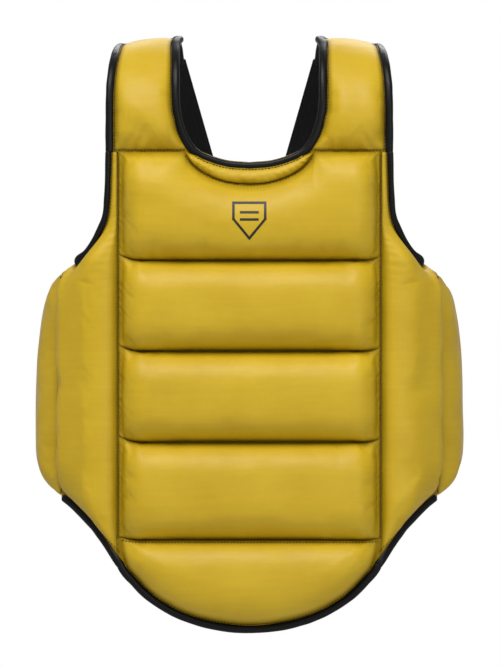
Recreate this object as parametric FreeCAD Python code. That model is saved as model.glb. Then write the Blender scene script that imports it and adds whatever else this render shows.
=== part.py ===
"""Padded chest protector.

It has a quilted front, folding side wings, padded shoulders, an elastic back harness and waist belts.

Millimetres, +Z up. The front faces -Y and the wearer stands on the +Y side. The origin is the middle
of the flat lining that rests on the breastbone. "Left" is the wearer's left, which is +X; right-hand
pieces are mirror images.

Each padded panel is built flat: a lining, foam blocks on it, and a cover moulded over the foam. The
wing and side panels are then turned about their sewn seams to the shape they have when worn. All sewn
fold lines lie in the plane where lining and cover meet, y = SEW_Y on the front.
"""
import FreeCAD
import Part
import math
import os
from FreeCAD import Vector

# ---- heights of the sewn lines on the front ----
SHOULDER_Z = 207.5
CHEST_Z = 94.6
MIDDLE_Z = 0.0
LOWER_Z = -94.6
BELLY_Z = -196.6

# ---- layers: thin sheets, the soft lining pad, and the foams ----
SHEET = 1.2
LINING_PAD = 2.0
SEW_Y = -(SHEET + LINING_PAD)
BAND_FOAM = 27.0
WING_FOAM = 21.0
SIDE_FOAM = 21.0
SHOULDER_FOAM = 11.0
ROLL_FOAM = 8.0

# ---- how far the foams' front edges are rounded ----
BAND_ROUND = 15.0
BELLY_ROUND = 11.0
WING_ROUND = 10.0
SIDE_ROUND = 11.0
SHOULDER_ROUND = 7.0

# ---- wings and side panels, measured flat from their inner seam ----
SEAM_X = 137.0
WING_WIDTH = 81.5
WING_ANGLE = 43.6
SIDE_WIDTH = 95.0
SIDE_ANGLE = 85.0
ARMHOLE = [(16.4, 260), (16.9, 212), (19, 157), (23.4, 136), (37, 115.4), (58, 94.6), (82, 81), (116, 70)]
WING_HEM = [
    (-34, -264), (-4, -229), (15.5, -207), (36.4, -186.2), (64.4, -165.4), (82.4, -155), (116, -137),
]
SIDE_TOP = [(-30, 92), (0, 81), (45, 73), (95, 68), (125, 66)]
SIDE_HEM = [(-30, -165), (0, -151), (45, -132), (95, -120), (125, -114)]
WING_FOAM_TOP = 112.0

# ---- neck opening, neck roll, belly hem and outer shoulder edge, seen from the front ----
NECK = [(73.3, 380), (73.3, 270), (70, 240), (62, 219.4), (50, 207), (25, 198), (0, 195.5)]
ROLL_A, ROLL_B, ROLL_Z = 68.0, 41.3, 215.0
HEM_A, HEM_B, HEM_Z = 143.0, 103.0, -190.0
SHOULDER_EDGE = [(149.2, 190), (149, 230), (147.2, 275), (142.5, 299), (135.5, 318), (126, 340)]
SHOULDER_FOAM_INNER = [(66, 200), (82.8, 250), (82.8, 345)]
SHOULDER_FOAM_OUTER = [(139.5, 200), (139.5, 255), (117, 345)]

# ---- shoulder arch, side view: straight up, a quarter turn back, then down over the shoulder ----
ARCH_LINE = 29.5
ARCH_R1 = 78.2
ARCH_R2 = 60.0
ARCH_OVER = 40.0

# ---- sewing and edge tape ----
THREAD_R = 1.0
SIDE_SEAM_LOW = -217.0
FOLD_SEAM_LOW, FOLD_SEAM_HIGH = -142.0, 73.0
HINGE_GAP = 1.6
TAPE_WIDTH = 7.5
TAPE_LIP = 1.4
TUCK = 1.5
PAD_FROM_SEAM = 6.0
FOAM_FROM_SEAM = 2.0
FOAM_FROM_HINGE = 3.6
FOAM_FROM_EDGE = 9.5
END_GAP = 2.0

# ---- back harness ----
ELASTIC = 2.0
HARNESS_Y = 200.5
HARNESS_WIDTH = 62.0
HARNESS_SLOPE = 16.0
HARNESS_MEET_Z = -40.0
HARNESS_END_Z = 50.0
PATCH = 2.4
PATCH_CORNERS = [(-74, 74), (74, 74), (62, -84), (-62, -84)]
PILE = 1.4
PILE_X, PILE_LOW, PILE_HIGH = 58.0, -80.0, -12.0

# ---- waist belts ----
BELT = 2.2
BELT_LOW, BELT_HIGH = -76.0, -16.0
BELT_END_X = 2.0
HOOK = 1.4
HOOK_GAP = 0.3
HOOK_LENGTH = 52.0
GRIP = 1.2
GRIP_LENGTH = 18.0

FAR = 500.0
X_AXIS, Z_AXIS = Vector(1, 0, 0), Vector(0, 0, 1)


# ---------------------------------------------------------------- flat outlines in the XZ plane
def polygon(points):
    ring = [Vector(x, 0, z) for x, z in points]
    return Part.Face(Part.makePolygon(ring + ring[:1]))


def box_face(x0, x1, z0, z1):
    return polygon([(x0, z0), (x1, z0), (x1, z1), (x0, z1)])


def ellipse_face(a, b, centre_z):
    centre = Vector(0, 0, centre_z)
    curve = Part.Ellipse(centre + X_AXIS * a, centre + Z_AXIS * b, centre)
    return Part.Face(Part.Wire(curve.toShape()))


def curve_through(points, to_left=0.0):
    """A smooth edge through the points, moved to the left of its own direction, seen from the front."""
    places = [Vector(x, 0, z) for x, z in points]
    curve = Part.BSplineCurve()
    curve.interpolate(places)
    if to_left:
        moved = []
        for place in places:
            along = curve.tangent(curve.parameter(place))[0]
            moved.append(place + Vector(-along.z, 0, along.x) * to_left)
        curve = Part.BSplineCurve()
        curve.interpolate(moved)
    return curve.toShape()


def closed_by_lines(edge, corners):
    """A face bounded by one curved edge and straight lines through the corners back to its start."""
    start, end = edge.firstVertex(True).Point, edge.lastVertex(True).Point
    places = [end] + [Vector(x, 0, z) for x, z in corners] + [start]
    lines = [Part.makeLine(a, b) for a, b in zip(places, places[1:])]
    return Part.Face(Part.Wire([edge] + lines))


def common_face(first, *others):
    face = first
    for other in others:
        face = face.common(other).Faces[0]
    return face


def cut_face(face, *holes):
    for hole in holes:
        face = face.cut(hole).Faces[0]
    return face


# ---------------------------------------------------------------- flat solids
def slab(face, y_back, y_front):
    placed = face.copy()
    placed.translate(Vector(0, y_back, 0))
    return placed.extrude(Vector(0, y_front - y_back, 0))


def cushion(face, thickness, radius):
    """The face raised forwards from the sewing plane, with its front edges rounded."""
    y_front = SEW_Y - thickness
    solid = slab(face, SEW_Y, y_front)
    rim = [
        e for e in solid.Edges
        if abs(e.BoundBox.YMin - y_front) < 0.01 and abs(e.BoundBox.YMax - y_front) < 0.01
    ]
    return solid.makeFillet(radius, rim)


def joined(shapes):
    return shapes[0].multiFuse(shapes[1:]).removeSplitter() if len(shapes) > 1 else shapes[0]


def mirrored(shape):
    return shape.mirror(Vector(0, 0, 0), X_AXIS)


def lining_of(sheet, pad):
    """A thin sheet with a soft pad on the wearer's side."""
    return joined([slab(sheet, SEW_Y, SEW_Y + SHEET), slab(pad, SEW_Y + SHEET, 0)])


def cover_of(sheet, cushions, thickness, radius):
    """A sheet moulded over foam blocks. cushions holds one function per block: extra width -> outline."""
    skins = [cushion(outline(SHEET), thickness + SHEET, radius + SHEET) for outline in cushions]
    cover = joined([slab(sheet, SEW_Y, SEW_Y - SHEET)] + skins)
    return cover.cut([cushion(outline(0), thickness, radius) for outline in cushions])


def tape(edge, inner, sheet):
    """Edge tape folded over both sheets: a band between two outlines, grooved for the sheets."""
    half = SHEET + TAPE_LIP
    band = slab(edge, SEW_Y + half, SEW_Y - half)
    return band.cut([slab(inner, FAR, -FAR), slab(sheet, SEW_Y + SHEET, SEW_Y - SHEET)])


# ---------------------------------------------------------------- front panel
def neck_hole(extra=0.0):
    """The neck opening, made larger all round by extra."""
    points = NECK + [(-x, z) for x, z in reversed(NECK[:-1])]
    return closed_by_lines(curve_through(points, -extra), [])


def front_face(from_seam, from_neck):
    x = SEAM_X - from_seam
    body = box_face(-x, x, BELLY_Z + from_seam, SHOULDER_Z - from_seam)
    return cut_face(body, neck_hole(-from_neck))


def chest_face(extra):
    x = SEAM_X - FOAM_FROM_HINGE + extra
    body = box_face(-x, x, CHEST_Z + FOAM_FROM_SEAM - extra, SHOULDER_Z - FOAM_FROM_HINGE + extra)
    grow = FOAM_FROM_SEAM - extra
    return cut_face(body, ellipse_face(ROLL_A + grow, ROLL_B + grow, ROLL_Z))


def band_face(low, high):
    def outline(extra):
        x = SEAM_X - FOAM_FROM_HINGE + extra
        from_low = FOAM_FROM_HINGE if low == BELLY_Z else FOAM_FROM_SEAM
        return box_face(-x, x, low + from_low - extra, high - FOAM_FROM_SEAM + extra)
    return outline


def roll_face(extra):
    shrink = FOAM_FROM_SEAM - extra
    lower_edge = ellipse_face(ROLL_A - shrink, ROLL_B - shrink, ROLL_Z)
    crescent = cut_face(lower_edge, neck_hole(-TAPE_WIDTH - 1 - shrink))
    return common_face(crescent, box_face(-FAR, FAR, 0, SHOULDER_Z - FOAM_FROM_HINGE + extra))


def front_parts():
    sheet = front_face(THREAD_R, TUCK)
    bands = [("upper", MIDDLE_Z, CHEST_Z), ("middle", LOWER_Z, MIDDLE_Z), ("lower", BELLY_Z, LOWER_Z)]
    outlines = {"foam_chest": chest_face}
    for name, low, high in bands:
        outlines["foam_band_" + name] = band_face(low, high)
    parts = {name: cushion(outline(0), BAND_FOAM, BAND_ROUND) for name, outline in outlines.items()}
    parts["cover_front"] = cover_of(sheet, list(outlines.values()), BAND_FOAM, BAND_ROUND)
    parts["lining_front"] = lining_of(sheet, front_face(PAD_FROM_SEAM, TAPE_WIDTH + 1))

    roll_y = SEW_Y - SHEET
    parts["foam_neck_roll"] = slab(roll_face(0), roll_y, roll_y - ROLL_FOAM)
    skin = slab(roll_face(SHEET), roll_y, roll_y - ROLL_FOAM - SHEET)
    parts["cover_neck_roll"] = skin.cut(parts["foam_neck_roll"])

    below_shoulder = box_face(-FAR, FAR, 150, SHOULDER_Z - THREAD_R)
    edge = common_face(cut_face(box_face(-100, 100, 150, 300), neck_hole()), below_shoulder)
    inner = cut_face(box_face(-FAR, FAR, -FAR, FAR), neck_hole(-TAPE_WIDTH))
    parts["tape_neck"] = tape(edge, inner, sheet)

    x = SEAM_X - 2 * THREAD_R - 1
    side_length = SHOULDER_Z - 2 * THREAD_R - SIDE_SEAM_LOW
    threads = [Part.makeCylinder(THREAD_R, 2 * x, Vector(-x, SEW_Y, BELLY_Z), X_AXIS)]
    for side in (-1, 1):
        low_end = Vector(side * SEAM_X, SEW_Y, SIDE_SEAM_LOW)
        threads.append(Part.makeCylinder(THREAD_R, side_length, low_end, Z_AXIS))
        start = 60.0 if side > 0 else -x
        threads.append(Part.makeCylinder(THREAD_R, x - 60, Vector(start, SEW_Y, SHOULDER_Z), X_AXIS))
    parts["seam_threads"] = Part.makeCompound(threads)
    return parts


# ---------------------------------------------------------------- belly panel
def belly_face(from_seam, from_hem):
    x = SEAM_X - from_seam
    body = box_face(-x, x, HEM_Z - 2 * HEM_B, BELLY_Z - from_seam)
    return common_face(ellipse_face(HEM_A - from_hem, HEM_B - from_hem, HEM_Z), body)


def belly_parts():
    sheet = belly_face(HINGE_GAP, TUCK)

    def outline(extra):
        a = SEAM_X - FOAM_FROM_HINGE + extra
        b = HEM_B - FOAM_FROM_EDGE + extra
        below = box_face(-FAR, FAR, -FAR, BELLY_Z - FOAM_FROM_HINGE + extra)
        return common_face(ellipse_face(a, b, HEM_Z), below)

    inner = ellipse_face(HEM_A - TAPE_WIDTH, HEM_B - TAPE_WIDTH, HEM_Z)
    return {
        "foam_belly": cushion(outline(0), BAND_FOAM, BELLY_ROUND),
        "cover_belly": cover_of(sheet, [outline], BAND_FOAM, BELLY_ROUND),
        "lining_belly": lining_of(sheet, belly_face(PAD_FROM_SEAM, TAPE_WIDTH + 1)),
        "tape_belly": tape(belly_face(HINGE_GAP, 0), inner, sheet),
    }


# ---------------------------------------------------------------- wing and side panels, built flat at x = 0
def strip_face(top, bottom, from_edge):
    """The flat strip between an upper and a lower curve, each moved inwards by from_edge."""
    upper = curve_through(top, -from_edge)
    lower = curve_through(bottom, from_edge)
    left_x, start_z = bottom[0][0] - 40, top[0][1]
    first, last = lower.firstVertex(True).Point, lower.lastVertex(True).Point
    above = closed_by_lines(upper, [(top[-1][0], -FAR), (left_x, -FAR), (left_x, start_z)])
    below = closed_by_lines(lower, [(last.x, FAR), (first.x, FAR)])
    return common_face(above, below)


def wing_face(from_seam, from_fold, from_edge, top=SHOULDER_Z - HINGE_GAP):
    limits = box_face(from_seam, WING_WIDTH - from_fold, -FAR, top)
    return common_face(strip_face(ARMHOLE, WING_HEM, from_edge), limits)


def side_face(from_fold, from_rear, from_edge):
    limits = box_face(from_fold, SIDE_WIDTH - from_rear, -FAR, FAR)
    return common_face(strip_face(SIDE_TOP, SIDE_HEM, from_edge), limits)


def fold_point():
    """Where the wing's outer fold line stands when worn."""
    turn = math.radians(WING_ANGLE)
    return Vector(SEAM_X + WING_WIDTH * math.cos(turn), SEW_Y + WING_WIDTH * math.sin(turn), 0)


def rear_point(beyond=0.0):
    """A point beyond the side panel's rear edge, in line with the panel."""
    turn = math.radians(SIDE_ANGLE)
    return fold_point() + Vector(math.cos(turn), math.sin(turn), 0) * (SIDE_WIDTH + beyond)


def placed_wing(shape):
    turned = shape.copy()
    turned.translate(Vector(SEAM_X, 0, 0))
    turned.rotate(Vector(SEAM_X, SEW_Y, 0), Z_AXIS, WING_ANGLE)
    return turned


def placed_side(shape):
    turned = shape.copy()
    turned.translate(Vector(0, -SEW_Y, 0))
    turned.rotate(Vector(0, 0, 0), Z_AXIS, SIDE_ANGLE)
    turned.translate(fold_point())
    return turned


def wing_parts():
    sheet = wing_face(HINGE_GAP, THREAD_R, TUCK)
    pad_face = wing_face(PAD_FROM_SEAM, PAD_FROM_SEAM, TAPE_WIDTH + 1, SHOULDER_Z - 20)

    def outline(extra):
        return wing_face(
            FOAM_FROM_HINGE - extra, FOAM_FROM_HINGE - extra, FOAM_FROM_EDGE - extra, WING_FOAM_TOP + extra
        )

    band = tape(wing_face(HINGE_GAP, THREAD_R, 0), wing_face(-20, -20, TAPE_WIDTH, FAR), sheet)
    upper_half = Part.makeBox(FAR, FAR, FAR, Vector(-100, -FAR / 2, 0))
    fold_length = FOLD_SEAM_HIGH - FOLD_SEAM_LOW
    thread = Part.makeCylinder(THREAD_R, fold_length, Vector(WING_WIDTH, SEW_Y, FOLD_SEAM_LOW), Z_AXIS)
    flat = {
        "foam_wing": cushion(outline(0), WING_FOAM, WING_ROUND),
        "cover_wing": cover_of(sheet, [outline], WING_FOAM, WING_ROUND),
        "lining_wing": lining_of(sheet, pad_face),
        "tape_armhole": band.common(upper_half),
        "tape_hem": band.cut(upper_half),
        "seam_thread_wing": thread,
    }
    return {name: placed_wing(shape) for name, shape in flat.items()}


def side_parts():
    sheet = side_face(HINGE_GAP, TUCK, TUCK)

    def outline(extra):
        return side_face(FOAM_FROM_HINGE - extra, FOAM_FROM_EDGE - extra, FOAM_FROM_EDGE - extra)

    flat = {
        "foam_side": cushion(outline(0), SIDE_FOAM, SIDE_ROUND),
        "cover_side": cover_of(sheet, [outline], SIDE_FOAM, SIDE_ROUND),
        "lining_side": lining_of(sheet, side_face(PAD_FROM_SEAM, TAPE_WIDTH + 1, TAPE_WIDTH + 1)),
        "tape_side": tape(side_face(HINGE_GAP, 0, 0), side_face(-20, TAPE_WIDTH, TAPE_WIDTH), sheet),
    }
    return {name: placed_side(shape) for name, shape in flat.items()}


# ---------------------------------------------------------------- shoulders
def arch_centre(number):
    y = SEW_Y + ARCH_R1
    z = SHOULDER_Z + ARCH_LINE
    return Vector(0, y, z) if number == 1 else Vector(0, y, z + ARCH_R1 - ARCH_R2)


def arch_point(outwards, short=0.0):
    """A point at the arch's rear end, outwards from its sewing line and short of its end."""
    turn = math.radians(90 - ARCH_OVER) + short / ARCH_R2
    return arch_centre(2) + Vector(0, math.cos(turn), math.sin(turn)) * (ARCH_R2 + outwards)


def arc_edge(centre, radius, from_angle, to_angle):
    """An arc in the side view; angles are from +Y towards +Z."""
    turns = [math.radians(a) for a in (from_angle, (from_angle + to_angle) / 2, to_angle)]
    places = [centre + Vector(0, math.cos(t), math.sin(t)) * radius for t in turns]
    return Part.Arc(*places).toShape()


def arch_layer(inner, outer, short=0.0):
    """The arch between two distances outwards from its sewing line, across one half of the body."""
    end_angle = 90 - ARCH_OVER + math.degrees(short / ARCH_R2)
    edges = []
    for level in (inner, outer):
        line = Part.makeLine(
            Vector(0, SEW_Y - level, SHOULDER_Z), Vector(0, SEW_Y - level, SHOULDER_Z + ARCH_LINE)
        )
        edges += [
            line,
            arc_edge(arch_centre(1), ARCH_R1 + level, 180, 90),
            arc_edge(arch_centre(2), ARCH_R2 + level, 90, end_angle),
        ]
    edges.append(Part.makeLine(Vector(0, SEW_Y - inner, SHOULDER_Z), Vector(0, SEW_Y - outer, SHOULDER_Z)))
    edges.append(Part.makeLine(arch_point(inner, short), arch_point(outer, short)))
    profile = Part.Face(Part.Wire(Part.__sortEdges__(edges)))
    return profile.extrude(Vector(170, 0, 0))


def shoulder_face(from_seam, from_edge):
    """The shoulder's outline seen from the front."""
    outer = curve_through(SHOULDER_EDGE, from_edge)
    body = closed_by_lines(outer, [(0, 340), (0, 190)])
    above = box_face(-FAR, FAR, SHOULDER_Z + from_seam, FAR)
    return common_face(cut_face(body, neck_hole(-from_edge)), above)


def shoulder_layer(face, inner, outer, short=0.0):
    return arch_layer(inner, outer, short).common(slab(face, FAR, -FAR))


def depth(point):
    """How far outwards a point lies from the arch's sewing line."""
    if point.z < SHOULDER_Z + ARCH_LINE:
        return SEW_Y - point.y
    first = point.y < arch_centre(1).y
    centre, radius = (arch_centre(1), ARCH_R1) if first else (arch_centre(2), ARCH_R2)
    return math.hypot(point.y - centre.y, point.z - centre.z) - radius


def shoulder_cushion(extra, thickness, radius):
    """The shoulder's foam, or its cover's outer form, with every outer edge rounded."""
    ring = [(x - extra, z) for x, z in SHOULDER_FOAM_INNER]
    ring += [(x + extra, z) for x, z in reversed(SHOULDER_FOAM_OUTER)]
    above = box_face(-FAR, FAR, SHOULDER_Z + FOAM_FROM_HINGE - extra, FAR)
    face = common_face(polygon(ring), above)
    solid = shoulder_layer(face, 0, thickness, FOAM_FROM_EDGE - extra)
    rim = []
    for edge in solid.Edges:
        middle = edge.valueAt((edge.FirstParameter + edge.LastParameter) / 2)
        ends = [v.Point for v in edge.Vertexes]
        on_top = all(depth(p) > thickness - 0.05 for p in ends + [middle])
        across = len(ends) == 2 and abs(ends[0].x - ends[1].x) > 30
        between = SHOULDER_Z + 8 < middle.z and middle.y < arch_point(0, FOAM_FROM_EDGE + 3).y
        if on_top and not (across and between):
            rim.append(edge)
    return solid.makeFillet(radius, rim)


def shoulder_parts():
    sheet = shoulder_face(HINGE_GAP, TUCK)
    foam = shoulder_cushion(0, SHOULDER_FOAM, SHOULDER_ROUND)
    skin = shoulder_cushion(SHEET, SHOULDER_FOAM + SHEET, SHOULDER_ROUND + SHEET)
    flange = shoulder_layer(sheet, 0, SHEET)
    pad_face = shoulder_face(PAD_FROM_SEAM, TAPE_WIDTH + 1)
    half = SHEET + TAPE_LIP
    band = shoulder_layer(shoulder_face(HINGE_GAP, 0), -half, half)
    inner = slab(shoulder_face(-20, TAPE_WIDTH), FAR, -FAR)
    band = band.cut([inner, shoulder_layer(sheet, -SHEET, SHEET)])
    outer_half = Part.makeBox(FAR, FAR, FAR, Vector(105, -FAR / 2, 0))
    return {
        "foam_shoulder": foam,
        "cover_shoulder": joined([flange, skin]).cut(foam),
        "lining_shoulder": joined([
            shoulder_layer(sheet, -SHEET, 0),
            shoulder_layer(pad_face, -SHEET - LINING_PAD, -SHEET, TAPE_WIDTH),
        ]),
        "tape_shoulder_outer": band.common(outer_half),
        "tape_shoulder_inner": band.cut(outer_half),
    }


# ---------------------------------------------------------------- back harness
def harness_hinge():
    """The line about which the elastic swings, just beyond the padded end."""
    heading = math.radians(ARCH_OVER)
    return arch_point(0) + Vector(0, math.cos(heading), -math.sin(heading)) * END_GAP


def harness_strap():
    start = harness_hinge()
    heading = math.radians(ARCH_OVER)
    radius = (HARNESS_Y + ELASTIC / 2 - start.y) / (1 - math.sin(heading))
    centre = start + Vector(0, -math.sin(heading), -math.cos(heading)) * radius
    half = ELASTIC / 2
    top = 90 - ARCH_OVER
    arcs = [arc_edge(centre, radius + level, top, 0) for level in (-half, half)]
    corners = [Vector(0, centre.y + radius + level, HARNESS_END_Z) for level in (-half, half)]
    sides = [
        Part.makeLine(Vector(0, centre.y + radius + level, centre.z), corner)
        for level, corner in zip((-half, half), corners)
    ]
    ends = [
        Part.makeLine(arcs[0].firstVertex(True).Point, arcs[1].firstVertex(True).Point),
        Part.makeLine(*corners),
    ]
    profile = Part.Face(Part.Wire(Part.__sortEdges__(arcs + sides + ends)))
    strap = profile.extrude(Vector(170, 0, 0))
    nose = Part.makeCylinder(half, 170, Vector(0, start.y, start.z), X_AXIS)

    lean = math.tan(math.radians(HARNESS_SLOPE))
    reach = HARNESS_WIDTH / 2 / math.cos(math.radians(HARNESS_SLOPE))
    middle = [(lean * (z - HARNESS_MEET_Z), z) for z in (HARNESS_END_Z - 20, 320)]
    (x0, z0), (x1, z1) = middle
    outline = polygon([(x0 - reach, z0), (x0 + reach, z0), (x1 + reach, z1), (x1 - reach, z1)])
    outline = common_face(outline, box_face(0.2, FAR, -FAR, FAR))
    return joined([strap, nose]).common(slab(outline, FAR, -FAR))


def harness_parts():
    strap = harness_strap()
    back = HARNESS_Y + ELASTIC
    pile = box_face(-PILE_X, PILE_X, PILE_LOW, PILE_HIGH)
    return {
        "elastic_harness_left": strap,
        "elastic_harness_right": mirrored(strap),
        "back_patch": slab(polygon(PATCH_CORNERS), back, back + PATCH),
        "pile_patch": slab(pile, back + PATCH, back + PATCH + PILE),
    }


# ---------------------------------------------------------------- waist belts
def belt_parts():
    start = rear_point(END_GAP)
    turn = math.radians(SIDE_ANGLE)
    hook_y = HARNESS_Y + ELASTIC + PATCH + PILE + HOOK_GAP
    belt_y = hook_y + HOOK
    half = BELT / 2
    radius = (belt_y + half - start.y) / (1 + math.cos(turn))
    centre = start + Vector(-math.sin(turn), math.cos(turn), 0) * radius

    def path(level):
        """The belt's plan line, level outwards from its middle, from side panel to back."""
        places = []
        for angle in (SIDE_ANGLE - 90, SIDE_ANGLE / 2, 90):
            along = math.radians(angle)
            places.append(centre + Vector(math.cos(along), math.sin(along), 0) * (radius + level))
        end = Vector(BELT_END_X, places[-1].y, 0)
        return Part.Arc(*places).toShape(), Part.makeLine(places[-1], end)

    inner_arc, inner_line = path(-half)
    outer_arc, outer_line = path(half)
    caps = [
        Part.makeLine(inner_arc.firstVertex(True).Point, outer_arc.firstVertex(True).Point),
        Part.makeLine(inner_line.lastVertex(True).Point, outer_line.lastVertex(True).Point),
    ]
    edges = [inner_arc, inner_line, outer_arc, outer_line] + caps
    plan = Part.Face(Part.Wire(Part.__sortEdges__(edges)))
    plan.translate(Vector(0, 0, BELT_LOW))
    height = BELT_HIGH - BELT_LOW
    nose = Part.makeCylinder(half, height, Vector(start.x, start.y, BELT_LOW), Z_AXIS)
    hook = box_face(BELT_END_X, BELT_END_X + HOOK_LENGTH, BELT_LOW + 3, BELT_HIGH - 3)
    grip = box_face(BELT_END_X, BELT_END_X + GRIP_LENGTH, BELT_LOW, BELT_HIGH)
    return {
        "elastic_belt": joined([plan.extrude(Vector(0, 0, height)), nose]),
        "hook_tab": slab(hook, hook_y, belt_y),
        "grip_tab": slab(grip, belt_y + BELT, belt_y + BELT + GRIP),
    }


# ---------------------------------------------------------------- everything
def main():
    os.makedirs("parts", exist_ok=True)
    pieces = {**front_parts(), **belly_parts(), **harness_parts()}
    for group in (wing_parts, side_parts, shoulder_parts, belt_parts):
        for name, shape in group().items():
            pieces[name + "_left"] = shape
            pieces[name + "_right"] = mirrored(shape)
    for name, shape in pieces.items():
        shape.exportStep("parts/" + name + ".step")
        print(name, shape.isValid(), len(shape.Solids), round(shape.Volume / 1000, 1))


main()
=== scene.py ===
import bmesh
import bpy
import math
import numpy as np
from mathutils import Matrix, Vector
from mathutils.bvhtree import BVHTree


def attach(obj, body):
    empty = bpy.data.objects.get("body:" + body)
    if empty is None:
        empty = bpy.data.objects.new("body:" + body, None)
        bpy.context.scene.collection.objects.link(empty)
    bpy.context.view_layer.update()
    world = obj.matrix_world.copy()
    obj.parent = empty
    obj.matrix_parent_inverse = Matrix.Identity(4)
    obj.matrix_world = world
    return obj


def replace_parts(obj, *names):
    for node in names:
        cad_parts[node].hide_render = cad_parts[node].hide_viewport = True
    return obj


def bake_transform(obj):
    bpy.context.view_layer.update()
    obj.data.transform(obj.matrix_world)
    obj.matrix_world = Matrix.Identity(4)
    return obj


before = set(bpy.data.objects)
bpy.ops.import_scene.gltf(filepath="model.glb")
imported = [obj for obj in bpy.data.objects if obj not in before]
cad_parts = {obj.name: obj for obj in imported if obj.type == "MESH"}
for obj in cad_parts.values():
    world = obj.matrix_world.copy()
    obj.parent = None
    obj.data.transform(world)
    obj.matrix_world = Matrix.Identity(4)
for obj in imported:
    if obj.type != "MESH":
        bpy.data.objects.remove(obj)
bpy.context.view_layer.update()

MM = 0.001
SIDES = {"left": 1, "right": -1}

# ---- the same sizes as the CAD model, mm ----
SHOULDER_Z, CHEST_Z, MIDDLE_Z, LOWER_Z, BELLY_Z = 207.5, 94.6, 0.0, -94.6, -196.6
SEW_Y = -3.2
SEAM_X = 137.0
WING_WIDTH, WING_ANGLE = 81.5, math.radians(43.6)
SIDE_WIDTH, SIDE_ANGLE = 95.0, math.radians(85.0)
ARMHOLE = [(16.4, 260), (16.9, 212), (19, 157), (23.4, 136), (37, 115.4), (58, 94.6), (82, 81), (116, 70)]
WING_HEM = [
    (-34, -264), (-4, -229), (15.5, -207), (36.4, -186.2), (64.4, -165.4), (82.4, -155), (116, -137),
]
SIDE_TOP = [(-30, 92), (0, 81), (45, 73), (95, 68), (125, 66)]
NECK = [(73.3, 380), (73.3, 270), (70, 240), (62, 219.4), (50, 207), (25, 198), (0, 195.5)]
ROLL_A, ROLL_B, ROLL_Z = 68.0, 41.3, 215.0
HEM_A, HEM_B, HEM_Z = 143.0, 103.0, -190.0
ARCH_LINE, ARCH_R1, ARCH_R2, ARCH_OVER = 29.5, 78.2, 60.0, math.radians(40.0)

# ---- the side pad hangs up to 9 mm lower than its plainer CAD solid ----
SIDE_HEM = [(-30, -164), (0, -152), (45, -139), (95, -129), (125, -125)]


# ======== numbers and points
def stacked(*parts):
    """Points, or other rows of numbers, put together from their parts."""
    return np.stack(np.broadcast_arrays(*parts), -1)


def least(*values):
    """The smallest of several grids, place by place."""
    return np.minimum.reduce(np.broadcast_arrays(*values))


def spread(start, end, across):
    """A grid that runs from each start to its end. across goes from 0 to 1."""
    return start[None, :] + (end - start)[None, :] * across[:, None]


# ======== curves
STEPS_PER_SPAN = 24


def smooth(points):
    """Points along a Catmull-Rom curve through the given points."""
    p = np.array([points[0]] + list(points) + [points[-1]], float)
    p[0] = 2 * p[1] - p[2]
    p[-1] = 2 * p[-2] - p[-3]
    t = np.linspace(0, 1, STEPS_PER_SPAN, endpoint=False)[:, None]
    spans = []
    for a, b, c, d in zip(p, p[1:], p[2:], p[3:]):
        bend, twist = 2 * a - 5 * b + 4 * c - d, 3 * b - a - 3 * c + d
        spans.append(0.5 * (2 * b + (c - a) * t + bend * t**2 + twist * t**3))
    return np.vstack(spans + [p[-2:-1]])


def lookup(points, across=0):
    """A function that gives the curve's other coordinate at a value of coordinate number across."""
    curve = smooth(points)
    order = np.argsort(curve[:, across], kind="stable")
    xs, ys = curve[order, across], curve[order, 1 - across]
    return lambda value: np.interp(value, xs, ys)


armhole_z = lookup(ARMHOLE[3:])
armhole_s = lookup(ARMHOLE[:6], 1)
wing_hem_z = lookup(WING_HEM)
side_top_z = lookup(SIDE_TOP)
side_hem_z = lookup(SIDE_HEM)
neck_x = lookup(NECK[:-1], 1)
neck_z = lookup(NECK[:1:-1])


def smoothstep(low, high, value):
    t = np.clip((np.asarray(value, float) - low) / (high - low), 0, 1)
    return t * t * (3 - 2 * t)


def belly_hem(x, inset=0.0):
    a, b = HEM_A - inset, HEM_B - inset
    drop = b * np.sqrt(np.clip(1 - (np.asarray(x) / a) ** 2, 0, 1))
    return HEM_Z - drop - 5.0 * smoothstep(122, 138, np.abs(x))


def offset(line, distance):
    """A flat line moved to its left."""
    line = np.asarray(line, float)
    step = np.gradient(line, axis=0)
    step /= np.maximum(np.linalg.norm(step, axis=1, keepdims=True), 1e-9)
    return line + stacked(-step[:, 1], step[:, 0]) * np.reshape(distance, (-1, 1))


def spaced(line, pitch):
    """A flat line's points again, evenly pitch apart."""
    line = np.asarray(line, float)
    run = np.concatenate([[0], np.cumsum(np.linalg.norm(np.diff(line, axis=0), axis=1))])
    at = np.linspace(0, run[-1], max(2, int(round(run[-1] / pitch)) + 1))
    return stacked(np.interp(at, run, line[:, 0]), np.interp(at, run, line[:, 1]))


# ======== places: flat pattern -> row frame, mm
def on_front(side=1):
    """Each place function takes s across, z up, and h outwards from the sewing plane."""
    def place(s, z, h):
        return stacked(s * side, SEW_Y - h, z)
    return place


def wing_turn(z):
    """The wing's angle. Above the padding the narrow strip turns forwards to meet the shoulder."""
    return WING_ANGLE * (1 - smoothstep(95, 205, z))


def on_wing(side):
    def place(s, z, h):
        s, z, h = np.broadcast_arrays(s, z, h)
        turn = wing_turn(z)
        out = s * math.cos(WING_ANGLE)
        x = SEAM_X + out + h * np.sin(turn)
        y = SEW_Y + out * np.tan(turn) - h * np.cos(turn)
        return stacked(x * side, y, z)
    return place


FOLD = np.array([SEAM_X + WING_WIDTH * math.cos(WING_ANGLE), SEW_Y + WING_WIDTH * math.sin(WING_ANGLE)])


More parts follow.
